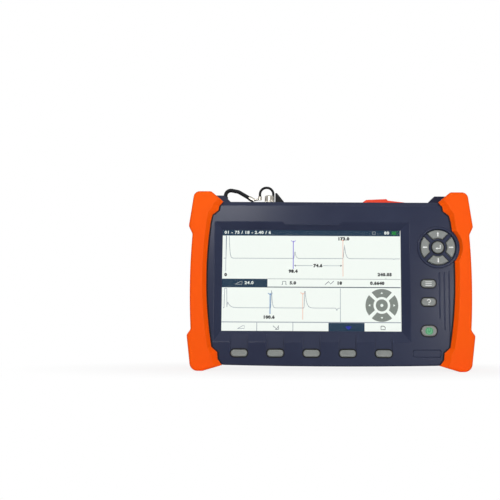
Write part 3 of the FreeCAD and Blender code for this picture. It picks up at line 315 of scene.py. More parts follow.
# The panel itself: white cells over the picture, a dark frame round them and dark behind.
def litPanel(name):
    material, tree, shader, place = newFinish(name, **{
        "Base Color": linear(screen["frame"]), "Roughness": screen["rough"],
        "Specular IOR Level": screen["specular"], "Emission Strength": 1.0})
    axes = addNode(tree, "ShaderNodeSeparateXYZ", {"Vector": place})
    inside = None
    for axis, centre, span in (("X", screenX, pictureW + screen["margin"]),
                               ("Z", screenZ, pictureH + screen["margin"]),
                               ("Y", pictureFront, screen["skin"])):
        hit = addNode(tree, "ShaderNodeMath", {
            0: axes.outputs[axis], 1: centre * mm, 2: span / 2 * mm}, operation="COMPARE")
        if inside:
            hit = addNode(tree, "ShaderNodeMath", {0: inside, 1: hit.outputs["Value"]}, operation="MULTIPLY")
        inside = hit.outputs["Value"]
    lit = addNode(tree, "ShaderNodeMix", {
        "Factor": inside, 6: (0.0, 0.0, 0.0, 1.0),
        7: cellGrid(tree, place, linear(screen["white"]), linear(screen["gap"]))}, data_type="RGBA")
    tree.links.new(lit.outputs[2], shader.inputs["Emission Color"])
    return material


# Adds a closed slab with the outline of points (x, z), from back to front along -Y, all in mm.
def slab(shape, points, front, back):
    near = [shape.verts.new((x * mm, front * mm, z * mm)) for x, z in points]
    deep = [shape.verts.new((x * mm, back * mm, z * mm)) for x, z in points]
    shape.faces.new(near)
    shape.faces.new(deep[::-1])
    for i in range(len(points)):
        j = (i + 1) % len(points)
        shape.faces.new((near[j], near[i], deep[i], deep[j]))


# Adds a stroke of one width along points, as a run of joined slabs.
def stroke(shape, points, width, front, back):
    rails = []
    for i, (x, z) in enumerate(points):
        before, after = points[max(i - 1, 0)], points[min(i + 1, len(points) - 1)]
        run = Vector((after[0] - before[0], after[1] - before[1])).normalized() * (width / 2)
        rails.append([shape.verts.new((px * mm, py * mm, pz * mm))
                      for px, pz in ((x - run.y, z + run.x), (x + run.y, z - run.x))
                      for py in (front, back)])
    for a, b in zip(rails, rails[1:]):
        for p, q in ((0, 2), (2, 3), (3, 1), (1, 0)):
            shape.faces.new((a[p], a[q], b[q], b[p]))
    for rail, corners in ((rails[0], (0, 1, 3, 2)), (rails[-1], (0, 2, 3, 1))):
        shape.faces.new([rail[corner] for corner in corners])


# Points of an arc round (x, z), angles in degrees from +X.
def arc(x, z, radius, start, end, steps=12):
    angles = [math.radians(start + (end - start) * i / steps) for i in range(steps + 1)]
    return [(x + radius * math.cos(angle), z + radius * math.sin(angle)) for angle in angles]


def disc(x, z, radius, corners):
    return arc(x, z, radius, 0, 360 - 360 / corners, corners - 1)


def pointing(turn):           # the way ahead and the way aside for a turn in degrees from +X
    ahead = Vector((math.cos(math.radians(turn)), math.sin(math.radians(turn))))
    return ahead, Vector((-ahead.y, ahead.x))


# Turns a shape into a piece that rides on a body.
def finishPiece(name, shape, material, body):
    bmesh.ops.recalc_face_normals(shape, faces=shape.faces)
    mesh = bpy.data.meshes.new(name)
    shape.to_mesh(mesh)
    shape.free()
    mesh.materials.append(material)
    piece = bpy.data.objects.new(name, mesh)
    scene.collection.objects.link(piece)
    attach(piece, body)


# Inks of the picture, each one shape and one finish. Places are mm from the top left of the picture.
inks = {
    "slate": "#2A3F54", "black": "#1A1D22", "white": "#F4FAF5", "trace": "#8C95A3",
    "rule": "#AEB4B6", "violet": "#8E85E0", "peach": "#F3B79A", "blue": "#4A86C0",
    "grey": "#868C86", "green": "#2B8C40", "indigo": "#2A34A4",
}
drawn = {ink: bmesh.new() for ink in inks}
fitX = pictureW / screen["width"]
fitZ = pictureH / screen["height"]


def at(x, y):
    return (screenX - pictureW / 2 + screen["nudge"] + x * fitX, screenZ + pictureH / 2 - y * fitZ)


def depth(layer):             # inks lie in layers, a few hundredths apart, on the panel's front
    return pictureFront - layer * screen["step"]


def patch(ink, points, layer, foot=0.1):
    slab(drawn[ink], [at(x, y) for x, y in points], depth(layer), depth(foot))


def block(ink, x0, y0, x1, y1, layer=1):
    patch(ink, [(x0, y0), (x0, y1), (x1, y1), (x1, y0)], layer)


def line(ink, points, width, layer=2):
    stroke(drawn[ink], [at(x, y) for x, y in points], width, depth(layer), depth(0.1))


# Figures are thin solids, centred on (x, y) or starting there. White on a dark bar looks wider than it is.
figures = {"size": 3.5, "wide": 1.12, "apart": 1.16, "bold": 0.072, "boldWhite": 0.036,
           "layer": 3, "foot": 0.2, "smooth": 3}


def number(ink, text, x, y, align="CENTER"):
    front, back = depth(figures["layer"]), depth(figures["foot"])
    curve = bpy.data.curves.new("figures", "FONT")
    curve.body = text
    curve.size = figures["size"]
    curve.align_x = align
    curve.align_y = "CENTER"
    curve.offset = figures["size"] * figures["boldWhite" if ink == "white" else "bold"]
    curve.space_character = figures["apart"]
    curve.extrude = (back - front) / 2
    curve.resolution_u = figures["smooth"]
    carrier = bpy.data.objects.new("figures", curve)
    scene.collection.objects.link(carrier)
    bpy.context.view_layer.update()
    mesh = bpy.data.meshes.new_from_object(carrier.evaluated_get(bpy.context.evaluated_depsgraph_get()))
    spotX, spotZ = at(x, y)
    mesh.transform(Matrix.Translation((spotX * mm, (front + back) / 2 * mm, spotZ * mm))
                   @ Matrix.Rotation(math.pi / 2, 4, "X")
                   @ Matrix.Diagonal((figures["wide"] * mm, mm, mm, 1.0)))
    drawn[ink].from_mesh(mesh)
    bpy.data.objects.remove(carrier)
    bpy.data.meshes.remove(mesh)


# Two graphs of a pulse that leaves the socket and the echoes that come back: start, height, rise and decay.
graphs = {
    "upper": {"base": 24.2, "top": 4.6, "end": 152.5,
              "launch": {"from": 2.5, "to": 4.6, "height": 40.0, "decay": 0.65},
              "echoes": [(61.0, 6.6, 0.9, 0.8), (103.5, 12.0, 1.2, 1.0), (146.4, -0.6, 0.5, 0.5)]},
    "lower": {"base": 66.3, "top": 49.9, "end": 101.4,
              "launch": {"from": 1.5, "to": 3.5, "height": 30.0, "decay": 0.1},
              "echoes": [(4.1, 5.6, 0.2, 1.9), (41.5, 19.0, 0.4, 0.6), (70.0, 17.5, 0.5, 1.3),
                         (97.2, -2.6, 0.7, 0.5)]},
}
tracePen = {"from": 0.4, "step": 0.35, "width": 0.42}


def traceHeight(graph, x):
    launch = graph["launch"]
    height = 0.0
    if x >= launch["from"]:
        height = launch["height"] * math.exp(-max(0.0, x - launch["to"]) / launch["decay"])
    for start, tall, rise, decay in graph["echoes"]:
        if x >= start:
            run = (x - start) / rise
            height += tall * (run if run < 1 else math.exp(-(x - start - rise) / decay))
    return max(graph["top"], graph["base"] - height)


for graph in graphs.values():
    marks = [tracePen["from"] + tracePen["step"] * i for i in range(int(graph["end"] / tracePen["step"]))]
    line("trace", [(x, traceHeight(graph, x)) for x in marks], tracePen["width"])

# Title bar, the row of settings, and the labels over the soft keys, of which one is chosen.
labels = {"count": 5, "chosen": 3, "top": 78.7, "barLow": 88.0, "barBack": 1.7, "ruleLow": 87.0,
          "ruleBack": 1.2, "ruled": (1, 2), "pen": 0.5}
labelWide = screen["width"] / labels["count"]
block("slate", -2.6, -2.0, 152.6, 4.8)
block("slate", -0.6, 41.7, 38.4, 48.5)
block("slate", labels["chosen"] * labelWide - labels["barBack"], labels["top"],
      (labels["chosen"] + 1) * labelWide - labels["barBack"], labels["barLow"])
for i in labels["ruled"]:
    x = i * labelWide - labels["ruleBack"]
    line("trace", [(x, labels["top"]), (x, labels["ruleLow"])], labels["pen"])

# Ruled lines: ink, width and the two ends.
for ink, width, start, end in (
        ("rule", 0.5, (38.4, 41.7), (152.6, 41.7)),
        ("slate", 0.75, (-0.6, 48.7), (152.6, 48.7)),
        ("trace", 0.7, (-0.8, 78.3), (152.6, 78.3)),
        ("trace", 0.42, (101.0, 49.6), (101.0, 78.2)),
        ("trace", 0.4, (2.4, 5.0), (2.4, 35.4)),
        ("trace", 0.4, (61.6, 30.3), (77.2, 30.3)),       # the measured span, on both sides of its number
        ("trace", 0.4, (86.2, 30.3), (102.3, 30.3)),
        ("rule", 0.4, (140.2, 40.4), (140.2, 41.4))):
    line(ink, [start, end], width)
for tip, back in ((61.0, 62.7), (102.8, 101.1)):          # arrow heads of the span
    patch("black", [(tip, 30.3), (back, 29.6), (back, 31.0)], 2)

# Cursors with a handle on top: ink, place, top, low end and width.
handle = {"half": 2.0, "rise": 0.2, "drop": 1.3, "pen": 0.55}
for ink, x, top, low, width in (("violet", 60.5, 9.0, 33.2, 0.75), ("peach", 103.3, 7.8, 39.4, 0.5),
                                ("blue", 40.8, 53.9, 71.6, 0.75), ("peach", 68.8, 53.4, 76.1, 0.5)):
    line(ink, [(x, top), (x, low)], width)
    line(ink, [(x - handle["half"], top - handle["rise"]), (x, top + handle["drop"]),
               (x + handle["half"], top - handle["rise"])], handle["pen"])

# Plain numbers.
for text, x, y in (("98.4", 60.4, 35.2), ("173.0", 103.8, 7.3), ("74.6", 81.7, 30.4), ("0", 2.4, 38.4),
                   ("240.05", 139.2, 37.8), ("100.6", 39.8, 74.2), ("5.0", 60.2, 45.2),
                   ("18", 100.2, 45.2), ("0.6640", 132.7, 45.2)):
    number("black", text, x, y)
number("white", "24.0", 22.6, 45.2)
number("white", "01 - 75 / 18 - 2.40 / 6", 1.0, 2.1, align="LEFT")
number("white", "80", 141.2, 2.1)

# Small plain signs: two ramps, pulse, averaged wave, turned arrow, page, box, battery, wedge.
ramp = ((0.0, 1.2), (4.6, -1.3), (5.8, -1.3), (5.8, 1.2), (0.0, 1.2))
for ink, width, layer, points in (
        ("rule", 0.4, 3, [(10.8 + x, 45.2 + y) for x, y in ramp]),
        ("trace", 0.4, 3, [(13.2 + x, 82.6 + y) for x, y in ramp]),
        ("slate", 0.5, 2, [(50.6, 46.5), (51.4, 46.5), (51.4, 43.8), (54.2, 43.8), (54.2, 46.5),
                           (55.0, 46.5)]),
        ("slate", 0.5, 2, [(87.8, 46.5), (90.9, 43.8), (92.6, 45.9), (95.4, 43.4)]),
        ("slate", 0.5, 2, [(43.4, 81.4), (46.6, 84.0), (48.4, 81.2)]),
        ("slate", 0.5, 2, [(45.4, 84.4), (48.2, 84.4), (48.2, 82.4)]),
        ("black", 0.55, 2, [(135.6, 81.3), (138.2, 81.3), (139.2, 82.3), (139.2, 84.2), (135.6, 84.2),
                            (135.6, 81.3)]),
        ("rule", 0.35, 3, [(129.0, 1.0), (131.4, 1.0), (131.4, 3.3), (129.0, 3.3), (129.0, 1.0)]),
        ("green", 0.35, 2.5, [(145.6, 0.8), (151.0, 0.8), (151.0, 3.5), (145.6, 3.5), (145.6, 0.8)])):
    line(ink, points, width, layer)
block("green", 146.0, 1.1, 149.2, 3.2, 3)
patch("indigo", [(105.0, 82.0), (107.9, 84.6), (110.8, 82.0), (107.9, 81.2)], 3, 0.2)

# The drawn copy of the ring of keys: four wedges round a disc, with plain arrows and a dot.
ring = {"x": 136.5, "y": 63.8, "outer": 14.3, "inner": 7.3, "half": 38.5, "trim": 4.0,
        "disc": 5.3, "dot": 1.35, "corners": 24,
        "tip": 11.8, "arrowLong": 1.7, "arrowHalf": 1.1, "arrowFoot": 1.1}
ringX, ringZ = at(ring["x"], ring["y"])
for turn in (0, 90, 180, 270):
    innerHalf = ring["half"] - ring["trim"]
    wedge = arc(ringX, ringZ, ring["outer"], turn - ring["half"], turn + ring["half"])
    wedge += arc(ringX, ringZ, ring["inner"], turn + innerHalf, turn - innerHalf)
    slab(drawn["grey"], wedge, depth(1), depth(0.1))
    ahead, aside = pointing(turn)
    tip = Vector((ringX, ringZ)) + ahead * ring["tip"]
    foot = tip - ahead * ring["arrowLong"]
    slab(drawn["white"], [tip, foot + aside * ring["arrowHalf"], foot - aside * ring["arrowHalf"]],
         depth(2), depth(ring["arrowFoot"]))
for ink, radius, layer in (("grey", ring["disc"], 1), ("white", ring["dot"], 2)):
    slab(drawn[ink], disc(ringX, ringZ, radius, ring["corners"]), depth(layer), depth(0.1))

for ink, shape in drawn.items():
    finishPiece("screen_" + ink, shape, litCells("lit_" + ink, inks[ink]), "case")
print("picture drawn:", len(drawn), "inks")

# Which finish each solid gets.
roundedKeys = [name for name in sorted(nodes) if name.endswith("_key") or name.startswith("soft_key_")]
finishes = [
    (pcAbsNavy, ["front_housing", "rear_housing", "battery_door", "tilt_stand"]),
    (tpeOrange, ["left_bumper", "right_bumper"]),
    (tpeRed, ["port_cover"]),
    (siliconeGrey, roundedKeys + ["arrow_up", "arrow_right", "arrow_down", "arrow_left"]),
    (epdmBlack, ["housing_seal", "window_gasket", "display_gasket", "door_seal",
                 "cap_loop", "tether_arm", "tether_gland", "aux_plug"]),
    (acrylicClear, ["display_window"]),
    (fr4Green, ["key_board", "main_board", "io_board"]),
    (steelGrey, ["key_board_screws", "board_standoffs", "board_screws", "door_screws",
                 "housing_screws", "stand_pin", "cover_pin", "io_screws", "lcd_bracket",
                 "pulse_shield_can", "usb_host_port", "usb_device_port"]),
    (litPanel("backlit_panel"), ["lcd_panel"]),
    (nickelBright, ["test_port", "port_nut", "dust_cap", "cap_ring", "tether_crimp", "aux_jack"]),
    (goldFlash, ["port_contact"]),
    (ptfeWhite, ["port_insulator"]),
    (nylonBlack, ["key_switches", "board_chips", "beeper", "display_cable", "charger_jack"]),
    (filmBlue, ["battery_pack"]),
]
for finish, members in finishes:
    for member in members:
        mesh = nodes[member].data
        mesh.materials.clear()
        mesh.materials.append(finish)
bare = set(nodes) - {member for _, members in finishes for member in members}
print("finishes set; solids without one:", sorted(bare))


def keyTop(key, x, z):        # height of a key's top under a sign, in mm
    start = Vector((x * mm, 2 * cadBox[0].y, z * mm))     # well in front of the key
    return nodes[key].ray_cast(start, Vector((0, 1, 0)))[1].y / mm


def middle(key):
    low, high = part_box(key)
    return (low.x + high.x) / 2 / mm, (low.z + high.z) / 2 / mm


# Prints strokes and filled outlines, in mm round a middle, as one piece on a key.
def printSign(name, key, ink, centre, front, back, pen=0.0, strokes=(), fills=()):
    sign = bmesh.new()
    for points in strokes:
        stroke(sign, [(centre[0] + x, centre[1] + z) for x, z in points], pen, front, back)
    for points in fills:
        slab(sign, [(centre[0] + x, centre[1] + z) for x, z in points], front, back)
    finishPiece(name, sign, ink, key + "_body")


# Pad-printed signs on the keys, a few hundredths proud of the silicone.
film = {"proud": 0.03, "sunk": 0.03}
bpy.context.view_layer.update()
navX, navZ = middle("enter_key")

arrowSign = {"from": 9.5, "neck": 11.9, "to": 13.6, "shaft": 0.5, "head": 0.95}
arrowOutline = [(arrowSign["from"], -arrowSign["shaft"]), (arrowSign["neck"], -arrowSign["shaft"]),
                (arrowSign["neck"], -arrowSign["head"]), (arrowSign["to"], 0.0),
                (arrowSign["neck"], arrowSign["head"]), (arrowSign["neck"], arrowSign["shaft"]),
                (arrowSign["from"], arrowSign["shaft"])]
for key, turn in (("arrow_right", 0), ("arrow_up", 90), ("arrow_left", 180), ("arrow_down", 270)):
    ahead, aside = pointing(turn)
    top = keyTop(key, *(Vector((navX, navZ)) + ahead * arrowSign["neck"]))
    printSign("sign_" + key, key, whitePrint, (navX, navZ), top - film["proud"], top + film["sunk"],
              fills=[[ahead * along + aside * across for along, across in arrowOutline]])

enterSign = {"pen": 0.85, "hook": [(1.9, 2.0), (1.9, -1.0), (-0.6, -1.0)],
             "head": [(-2.3, -1.0), (-0.6, -2.0), (-0.6, 0.0)]}
top = keyTop("enter_key", navX, navZ)
printSign("sign_enter_key", "enter_key", whitePrint, (navX, navZ), top - film["proud"], top + film["sunk"],
          enterSign["pen"], [enterSign["hook"]], [enterSign["head"]])

menuSign = {"pen": 0.55, "half": 2.7, "rises": (-1.55, 0.0, 1.55)}
menuSpot = middle("menu_key")
top = keyTop("menu_key", *menuSpot)
printSign("sign_menu_key", "menu_key", whitePrint, menuSpot, top - film["proud"], top + film["sunk"],
          menuSign["pen"],
          [[(-menuSign["half"], rise), (menuSign["half"], rise)] for rise in menuSign["rises"]])

# This sign fills its key's shallow dish and tops the rim.
helpSign = {"pen": 0.75, "hook": arc(0.0, 0.9, 1.35, 170, -55, 16) + [(0.0, -0.4), (0.0, -1.0)],
            "dot": [(0.0, -1.7), (0.0, -2.45)], "rimAt": 2.3}
helpX, helpZ = middle("help_key")
top = keyTop("help_key", helpX, helpZ)
rim = keyTop("help_key", helpX, helpZ + helpSign["rimAt"])
printSign("sign_help_key", "help_key", whitePrint, (helpX, helpZ), rim - film["proud"], top + film["sunk"],
          helpSign["pen"], [helpSign["hook"], helpSign["dot"]])

powerSign = {"pen": 0.6, "disc": disc(0.0, 0.0, 3.3, 40), "ring": arc(0.0, 0.0, 1.9, 130, 410, 28),
             "bar": [(0.0, 0.2), (0.0, 2.3)]}
powerSpot = middle("power_key")
top = keyTop("power_key", *powerSpot)
printSign("disc_power_key", "power_key", greenPrint, powerSpot, top - film["proud"], top + film["sunk"],
          fills=[powerSign["disc"]])
printSign("sign_power_key", "power_key", palePrint, powerSpot, top - 2 * film["proud"], top,
          powerSign["pen"], [powerSign["ring"], powerSign["bar"]])
print("signs printed on the keys")


# Geometry Nodes: a tree with the named inputs of one kind of piece, its closing nodes, and the call that
# turns it into a plain mesh.
def newNodeTree(name, inputs):
    tree = bpy.data.node_groups.new(name, "GeometryNodeTree")
    tree.interface.new_socket("Geometry", in_out="INPUT", socket_type="NodeSocketGeometry")
    tree.interface.new_socket("Geometry", in_out="OUTPUT", socket_type="NodeSocketGeometry")
    for label, kind in inputs:
        tree.interface.new_socket(label, in_out="INPUT", socket_type="NodeSocket" + kind)
    return tree, addNode(tree, "NodeGroupInput").outputs


def closeTree(tree, geometry, material):
    plain = addNode(tree, "GeometryNodeRealizeInstances", {"Geometry": geometry})
    skinned = addNode(tree, "GeometryNodeSetMaterial", {
        "Geometry": plain.outputs["Geometry"], "Material": material})
    addNode(tree, "NodeGroupOutput", {"Geometry": skinned.outputs["Geometry"]})


def growPiece(name, tree, carrier, sizes, body):
    scene.collection.objects.link(carrier)
    modifier = carrier.modifiers.new(name, "NODES")
    modifier.node_group = tree
    for item in tree.interface.items_tree:
        if item.in_out == "INPUT" and item.name in sizes:
            modifier[item.identifier] = sizes[item.name]
    bpy.context.view_layer.update()
    grown = carrier.evaluated_get(bpy.context.evaluated_depsgraph_get())
    mesh = bpy.data.meshes.new_from_object(grown)
    mesh.name = name
    carrier.modifiers.remove(modifier)
    bpy.data.objects.remove(carrier)
    piece = bpy.data.objects.new(name, mesh)
    scene.collection.objects.link(piece)
    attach(piece, body)
    return piece


def pathObject(name, runs, y, closed):       # one curve with a straight-run spline for each run
    curve = bpy.data.curves.new(name, "CURVE")
    curve.dimensions = "3D"
    for run in runs:
        spline = curve.splines.new("POLY")
        spline.points.add(len(run) - 1)
        spline.use_cyclic_u = closed
        for point, (x, z) in zip(spline.points, run):
            point.co = (x * mm, y * mm, z * mm, 1.0)
    return bpy.data.objects.new(name, curve)


tree, inlet = newNodeTree("bead_along_path", [
    ("Radius", "Float"), ("Sides", "Int"), ("Step", "Float"), ("Material", "Material")])
even = addNode(tree, "GeometryNodeResampleCurve", {
    "Curve": inlet["Geometry"], "Length": inlet["Step"]}, mode="LENGTH")
section = addNode(tree, "GeometryNodeCurvePrimitiveCircle", {
    "Resolution": inlet["Sides"], "Radius": inlet["Radius"]})
swept = addNode(tree, "GeometryNodeCurveToMesh", {
    "Curve": even.outputs["Curve"], "Profile Curve": section.outputs["Curve"], "Fill Caps": True})
closeTree(tree, swept.outputs["Mesh"], inlet["Material"])

# Dark bead in the groove between housing and bumpers, placed as insets from the housing's ends and heights:
# it paints the shade of the seam.
# It bows outwards along its waist and stops at the ring of keys.
seamShade = {"radius": 0.75, "sides": 10, "step": 1.0, "inward": 0.55, "y": -25.75, "half": 117.5,
        "bow": 4.1, "bowSteps": 40, "ring": 19.0,
        "upper": [(20.8, 143.0), (19.9, 142.0), (19.3, 138.4), (14.1, 134.2), (12.7, 128.5)],
        "lower": [(15.1, 20.2), (20.1, 15.8), (20.7, 9.8), (22.9, 6.8)]}
(topIn, topZ), (lowIn, lowZ) = seamShade["upper"][-1], seamShade["lower"][0]
waist = []
for i in range(1, seamShade["bowSteps"]):
    t = i / seamShade["bowSteps"]
    waist.append((topIn + (lowIn - topIn) * t - seamShade["bow"] * 4 * t * (1 - t), topZ + (lowZ - topZ) * t))
runs = []
for side in (-1, 1):
    broken = True
    for inset, z in seamShade["upper"] + waist + seamShade["lower"]:
        x = side * (seamShade["half"] - inset - seamShade["inward"])
        if math.hypot(x - navX, z - navZ) < seamShade["ring"]:
            broken = True
            continue
        if broken:
            runs.append([])
            broken = False
        runs[-1].append((x, z))
growPiece("seam_painted_shade", tree, pathObject("seam_shade_path", runs, seamShade["y"], False), {
    "Radius": seamShade["radius"] * mm, "Sides": seamShade["sides"], "Step": seamShade["step"] * mm,
    "Material": epdmBlack}, "case")

# Dark bead in the gap round each long key and round the middle one, whose flange is narrower: it paints the
# shade of the key gaps.
keyGapShade = {"radius": 0.5, "sides": 10, "step": 0.5, "flange": 1.4, "middleFlange": 1.1, "out": 0.6, "y": -25.75,
       "arcSteps": 16}
keyGapShadeLoops = []
for key in roundedKeys:
    low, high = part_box(key)
    x, z = middle(key)
    reach = keyGapShade["out"] - keyGapShade["middleFlange" if key == "enter_key" else "flange"]
    halfX = (high.x - low.x) / 2 / mm + reach
    halfZ = (high.z - low.z) / 2 / mm + reach
    keyGapShadeLoops.append(arc(x + halfX - halfZ, z, halfZ, -90, 90, keyGapShade["arcSteps"])
                       + arc(x - halfX + halfZ, z, halfZ, 90, 270, keyGapShade["arcSteps"]))
growPiece("key_gap_painted_shade", tree, pathObject("key_gap_shade_path", keyGapShadeLoops, keyGapShade["y"], True), {
    "Radius": keyGapShade["radius"] * mm, "Sides": keyGapShade["sides"], "Step": keyGapShade["step"] * mm,
    "Material": epdmBlack}, "case")

# Socket screws on the back: a tapered head with a six-sided recess, and its shank.
screwShape = {"headSides": 40, "socketSides": 6, "shankSides": 24, "taper": 0.86}
screws = {
    "door_screws": {
        "head": 2.5, "rise": 0.9, "seat": 25.1, "shank": 1.2, "reach": 8.7, "socket": 1.15, "deep": 0.6,
        "spots": [(-64.0, 70.7), (-64.0, 118.3), (64.0, 70.7), (64.0, 118.3)]},
    "housing_screws": {
        "head": 3.0, "rise": 3.2, "seat": 22.0, "shank": 1.5, "reach": 34.0, "socket": 1.5, "deep": 1.8,
        "spots": [(-90.0, 133.0), (90.0, 133.0), (-97.0, 20.5), (97.0, 20.5)]},
}
tree, inlet = newNodeTree("screws_at_points", [
    ("Head Radius", "Float"), ("Head Height", "Float"), ("Shank Radius", "Float"), ("Shank Length", "Float"),
    ("Socket Radius", "Float"), ("Socket Depth", "Float"), ("Material", "Material")])
crown = addNode(tree, "ShaderNodeMath", {
    0: inlet["Head Radius"], 1: screwShape["taper"]}, operation="MULTIPLY")
head = addNode(tree, "GeometryNodeMeshCone", {
    "Vertices": screwShape["headSides"], "Radius Bottom": inlet["Head Radius"],
    "Radius Top": crown.outputs["Value"], "Depth": inlet["Head Height"]})
socketFoot = addNode(tree, "ShaderNodeMath", {
    0: inlet["Head Height"], 1: inlet["Socket Depth"]}, operation="SUBTRACT")
socketPlace = addNode(tree, "ShaderNodeCombineXYZ", {"Z": socketFoot.outputs["Value"]})
socketHigh = addNode(tree, "ShaderNodeMath", {
    0: inlet["Socket Depth"], 1: 2.0}, operation="MULTIPLY")      # the cutter stands out of the head
socket = addNode(tree, "GeometryNodeMeshCone", {
    "Vertices": screwShape["socketSides"], "Radius Bottom": inlet["Socket Radius"],
    "Radius Top": inlet["Socket Radius"], "Depth": socketHigh.outputs["Value"]})
socketSet = addNode(tree, "GeometryNodeTransform", {
    "Geometry": socket.outputs["Mesh"], "Translation": socketPlace.outputs["Vector"]})
recessed = addNode(tree, "GeometryNodeMeshBoolean", {
    "Mesh 1": head.outputs["Mesh"], "Mesh 2": socketSet.outputs["Geometry"]}, operation="DIFFERENCE")
shank = addNode(tree, "GeometryNodeMeshCone", {
    "Vertices": screwShape["shankSides"], "Radius Bottom": inlet["Shank Radius"],
    "Radius Top": inlet["Shank Radius"], "Depth": inlet["Shank Length"]})
shankFoot = addNode(tree, "ShaderNodeMath", {0: inlet["Shank Length"], 1: -1.0}, operation="MULTIPLY")
shankPlace = addNode(tree, "ShaderNodeCombineXYZ", {"Z": shankFoot.outputs["Value"]})
shankSet = addNode(tree, "GeometryNodeTransform", {
    "Geometry": shank.outputs["Mesh"], "Translation": shankPlace.outputs["Vector"]})
whole = addNode(tree, "GeometryNodeJoinGeometry", {"Geometry": recessed.outputs["Mesh"]})
tree.links.new(shankSet.outputs["Geometry"], whole.inputs["Geometry"])
turned = addNode(tree, "GeometryNodeTransform", {
    "Geometry": whole.outputs["Geometry"], "Rotation": (-math.pi / 2, 0.0, 0.0)})      # heads to the back
placed = addNode(tree, "GeometryNodeInstanceOnPoints", {
    "Points": inlet["Geometry"], "Instance": turned.outputs["Geometry"]})
closeTree(tree, placed.outputs["Instances"], inlet["Material"])
for node, screw in screws.items():
    spots = bpy.data.meshes.new(node + "_spots")
    spots.from_pydata([(x * mm, screw["seat"] * mm, z * mm) for x, z in screw["spots"]], [], [])
    piece = growPiece("socket_" + node, tree, bpy.data.objects.new(node + "_spots", spots), {
        "Head Radius": screw["head"] * mm, "Head Height": screw["rise"] * mm,
        "Shank Radius": screw["shank"] * mm, "Shank Length": screw["reach"] * mm,
        "Socket Radius": screw["socket"] * mm, "Socket Depth": screw["deep"] * mm,
        "Material": steelGrey}, "case")
    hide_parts(node)

# Knurled band round the foot of the dust cap, for the fingers.
knurl = {"count": 44, "ridge": 0.2, "sides": 8, "from": 151.3, "to": 153.7, "sunk": 0.06}
capLow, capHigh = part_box("dust_cap")
capMiddle = (capLow + capHigh) / 2
tree, inlet = newNodeTree("ridges_round_cap", [
    ("Count", "Int"), ("Radius", "Float"), ("Ridge", "Float"), ("Sides", "Int"), ("Height", "Float"),
    ("Material", "Material")])
around = addNode(tree, "GeometryNodeMeshCircle", {"Vertices": inlet["Count"], "Radius": inlet["Radius"]})
ridge = addNode(tree, "GeometryNodeMeshCylinder", {
    "Vertices": inlet["Sides"], "Radius": inlet["Ridge"], "Depth": inlet["Height"]})
ridges = addNode(tree, "GeometryNodeInstanceOnPoints", {
    "Points": around.outputs["Mesh"], "Instance": ridge.outputs["Mesh"]})
closeTree(tree, ridges.outputs["Instances"], inlet["Material"])
knurlCarrier = bpy.data.objects.new("cap_spots", bpy.data.meshes.new("cap_spots"))
piece = growPiece("cap_knurl", tree, knurlCarrier, {
    "Count": knurl["count"], "Radius": (capHigh.x - capLow.x) / 2 - knurl["sunk"] * mm,
    "Ridge": knurl["ridge"] * mm, "Sides": knurl["sides"], "Height": (knurl["to"] - knurl["from"]) * mm,
    "Material": nickelBright}, "dust_cap_body")
piece.data.transform(Matrix.Translation((
    capMiddle.x, capMiddle.y, (knurl["from"] + knurl["to"]) / 2 * mm)))
# the bead and the webs are painted shade, in the seam and in the key gaps
print("bead, webs, screws and knurl grown")

# Camera: square on, a little left of the middle and below it, tipped up. The shift keeps the object
# right of the picture's middle, as the photograph has it.
camera = {"place": (-31.2, -676.0, 44.0), "pitchUp": 6.73, "roll": 0.27, "lens": 54.02, "sensor": 36.0,
          "shift": (-0.09, -0.0386), "near": 0.01, "far": 50.0}
cameraData = bpy.data.cameras.new("camera")
cameraObject = bpy.data.objects.new("camera", cameraData)
scene.collection.objects.link(cameraObject)
cameraObject.location = Vector(camera["place"]) * mm
facing = Matrix.Rotation(math.radians(90 + camera["pitchUp"]), 3, "X")
facing @= Matrix.Rotation(math.radians(camera["roll"]), 3, "Z")
cameraObject.rotation_euler = facing.to_euler()
cameraData.sensor_width = camera["sensor"]
cameraData.lens = camera["lens"]
cameraData.shift_x, cameraData.shift_y = camera["shift"]
cameraData.clip_start = camera["near"]
cameraData.clip_end = camera["far"]
scene.camera = cameraObject


# 1 for what is seen straight, in a mirror or through the window, and 0 for light on the object.
def seenRays(tree):
    rays = addNode(tree, "ShaderNodeLightPath")
    mirrored = addNode(tree, "ShaderNodeMath", {
        0: rays.outputs["Is Camera Ray"], 1: rays.outputs["Is Glossy Ray"]}, operation="MAXIMUM")
    through = addNode(tree, "ShaderNodeMath", {
        0: mirrored.outputs["Value"], 1: rays.outputs["Is Transmission Ray"]}, operation="MAXIMUM")
    return through.outputs["Value"]


# Floor: pale, keeps the shadow near the object and fades to the white of the background.
floor = {"radius": 6.0, "segments": 96, "shade": "#F0F0EF", "rough": 0.8, "squeeze": (0.45, 1.0, 1.0),
         "fadeFrom": 0.05, "fadeTo": 0.14, "keep": 0.14}
floorMesh = bpy.data.meshes.new("floor")
floorShape = bmesh.new()
bmesh.ops.create_circle(floorShape, cap_ends=True, segments=floor["segments"], radius=floor["radius"])
floorShape.to_mesh(floorMesh)
floorShape.free()
floorObject = bpy.data.objects.new("floor", floorMesh)
floorObject.location.z = cadBox[0].z
scene.collection.objects.link(floorObject)
floorFinish, tree, shader, place = newFinish("painted_floor", **{
    "Base Color": linear(floor["shade"]), "Roughness": floor["rough"]})
squeezed = addNode(tree, "ShaderNodeMapping", {"Vector": place, "Scale": floor["squeeze"]})
far = addNode(tree, "ShaderNodeVectorMath", {0: squeezed.outputs["Vector"]}, operation="LENGTH")
fade = addNode(tree, "ShaderNodeMapRange", {
    "Value": far.outputs["Value"], "From Min": floor["fadeFrom"], "From Max": floor["fadeTo"],
    "To Min": 1.0 - floor["keep"]}, interpolation_type="SMOOTHSTEP")
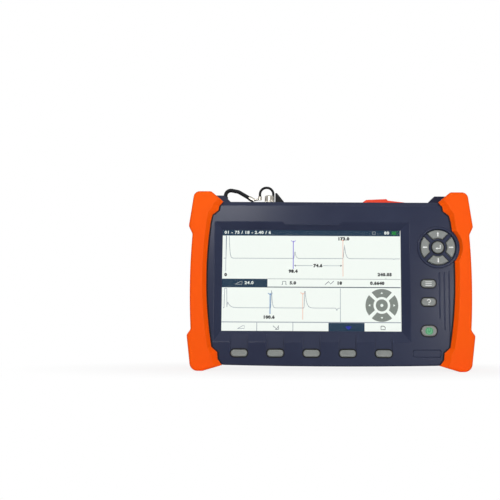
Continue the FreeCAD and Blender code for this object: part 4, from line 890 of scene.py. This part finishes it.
whiten = addNode(tree, "ShaderNodeMath", {
    0: seenRays(tree), 1: fade.outputs["Result"]}, operation="MULTIPLY")
white = addNode(tree, "ShaderNodeEmission", {"Strength": 1.0})
mixed = addNode(tree, "ShaderNodeMixShader", {
    0: whiten.outputs["Value"], 1: shader.outputs["BSDF"], 2: white.outputs["Emission"]})
output = next(node for node in tree.nodes if node.type == "OUTPUT_MATERIAL")
tree.links.new(mixed.outputs["Shader"], output.inputs["Surface"])
floorMesh.materials.append(floorFinish)

# Background: white to the eye, to mirrors and through the window; a soft grey dome as light.
dome = {"tint": "#F4F6FA", "strength": 0.17}
world = bpy.data.worlds.new("studio")
world.use_nodes = True
scene.world = world
tree = world.node_tree
tree.nodes.clear()
soft = addNode(tree, "ShaderNodeBackground", {
    "Color": linear(dome["tint"]), "Strength": dome["strength"]})
white = addNode(tree, "ShaderNodeBackground", {"Color": linear("#FFFFFF"), "Strength": 1.0})
mixed = addNode(tree, "ShaderNodeMixShader", {
    0: seenRays(tree), 1: soft.outputs["Background"], 2: white.outputs["Background"]})
addNode(tree, "ShaderNodeOutputWorld", {"Surface": mixed.outputs["Shader"]})

# Soft boxes: a small one on each side of the camera, a wide one above, two behind.
lamps = {
    "key": {"place": (-0.2, -1.05, 0.35), "size": 0.16, "power": 3.25},
    "fill": {"place": (0.4, -1.05, 0.08), "size": 0.13, "power": 2.45},
    "top": {"place": (0.0, -0.75, 0.92), "size": 0.6, "power": 3.1},
    "backLeft": {"place": (-0.9, 0.95, 0.5), "size": 0.5, "power": 2.6},
    "backRight": {"place": (0.9, 0.95, 0.5), "size": 0.5, "power": 2.6},
}
aim = (cadBox[0] + cadBox[1]) / 2
for lampName, lamp in lamps.items():
    lampData = bpy.data.lights.new(lampName, "AREA")
    lampData.size = lamp["size"]
    lampData.energy = lamp["power"]
    lampObject = bpy.data.objects.new(lampName, lampData)
    lampObject.location = lamp["place"]
    lampObject.rotation_euler = (aim - lampObject.location).to_track_quat("-Z", "Y").to_euler()
    scene.collection.objects.link(lampObject)
scene.view_settings.view_transform = "Standard"
print("stage, camera and lamps set")
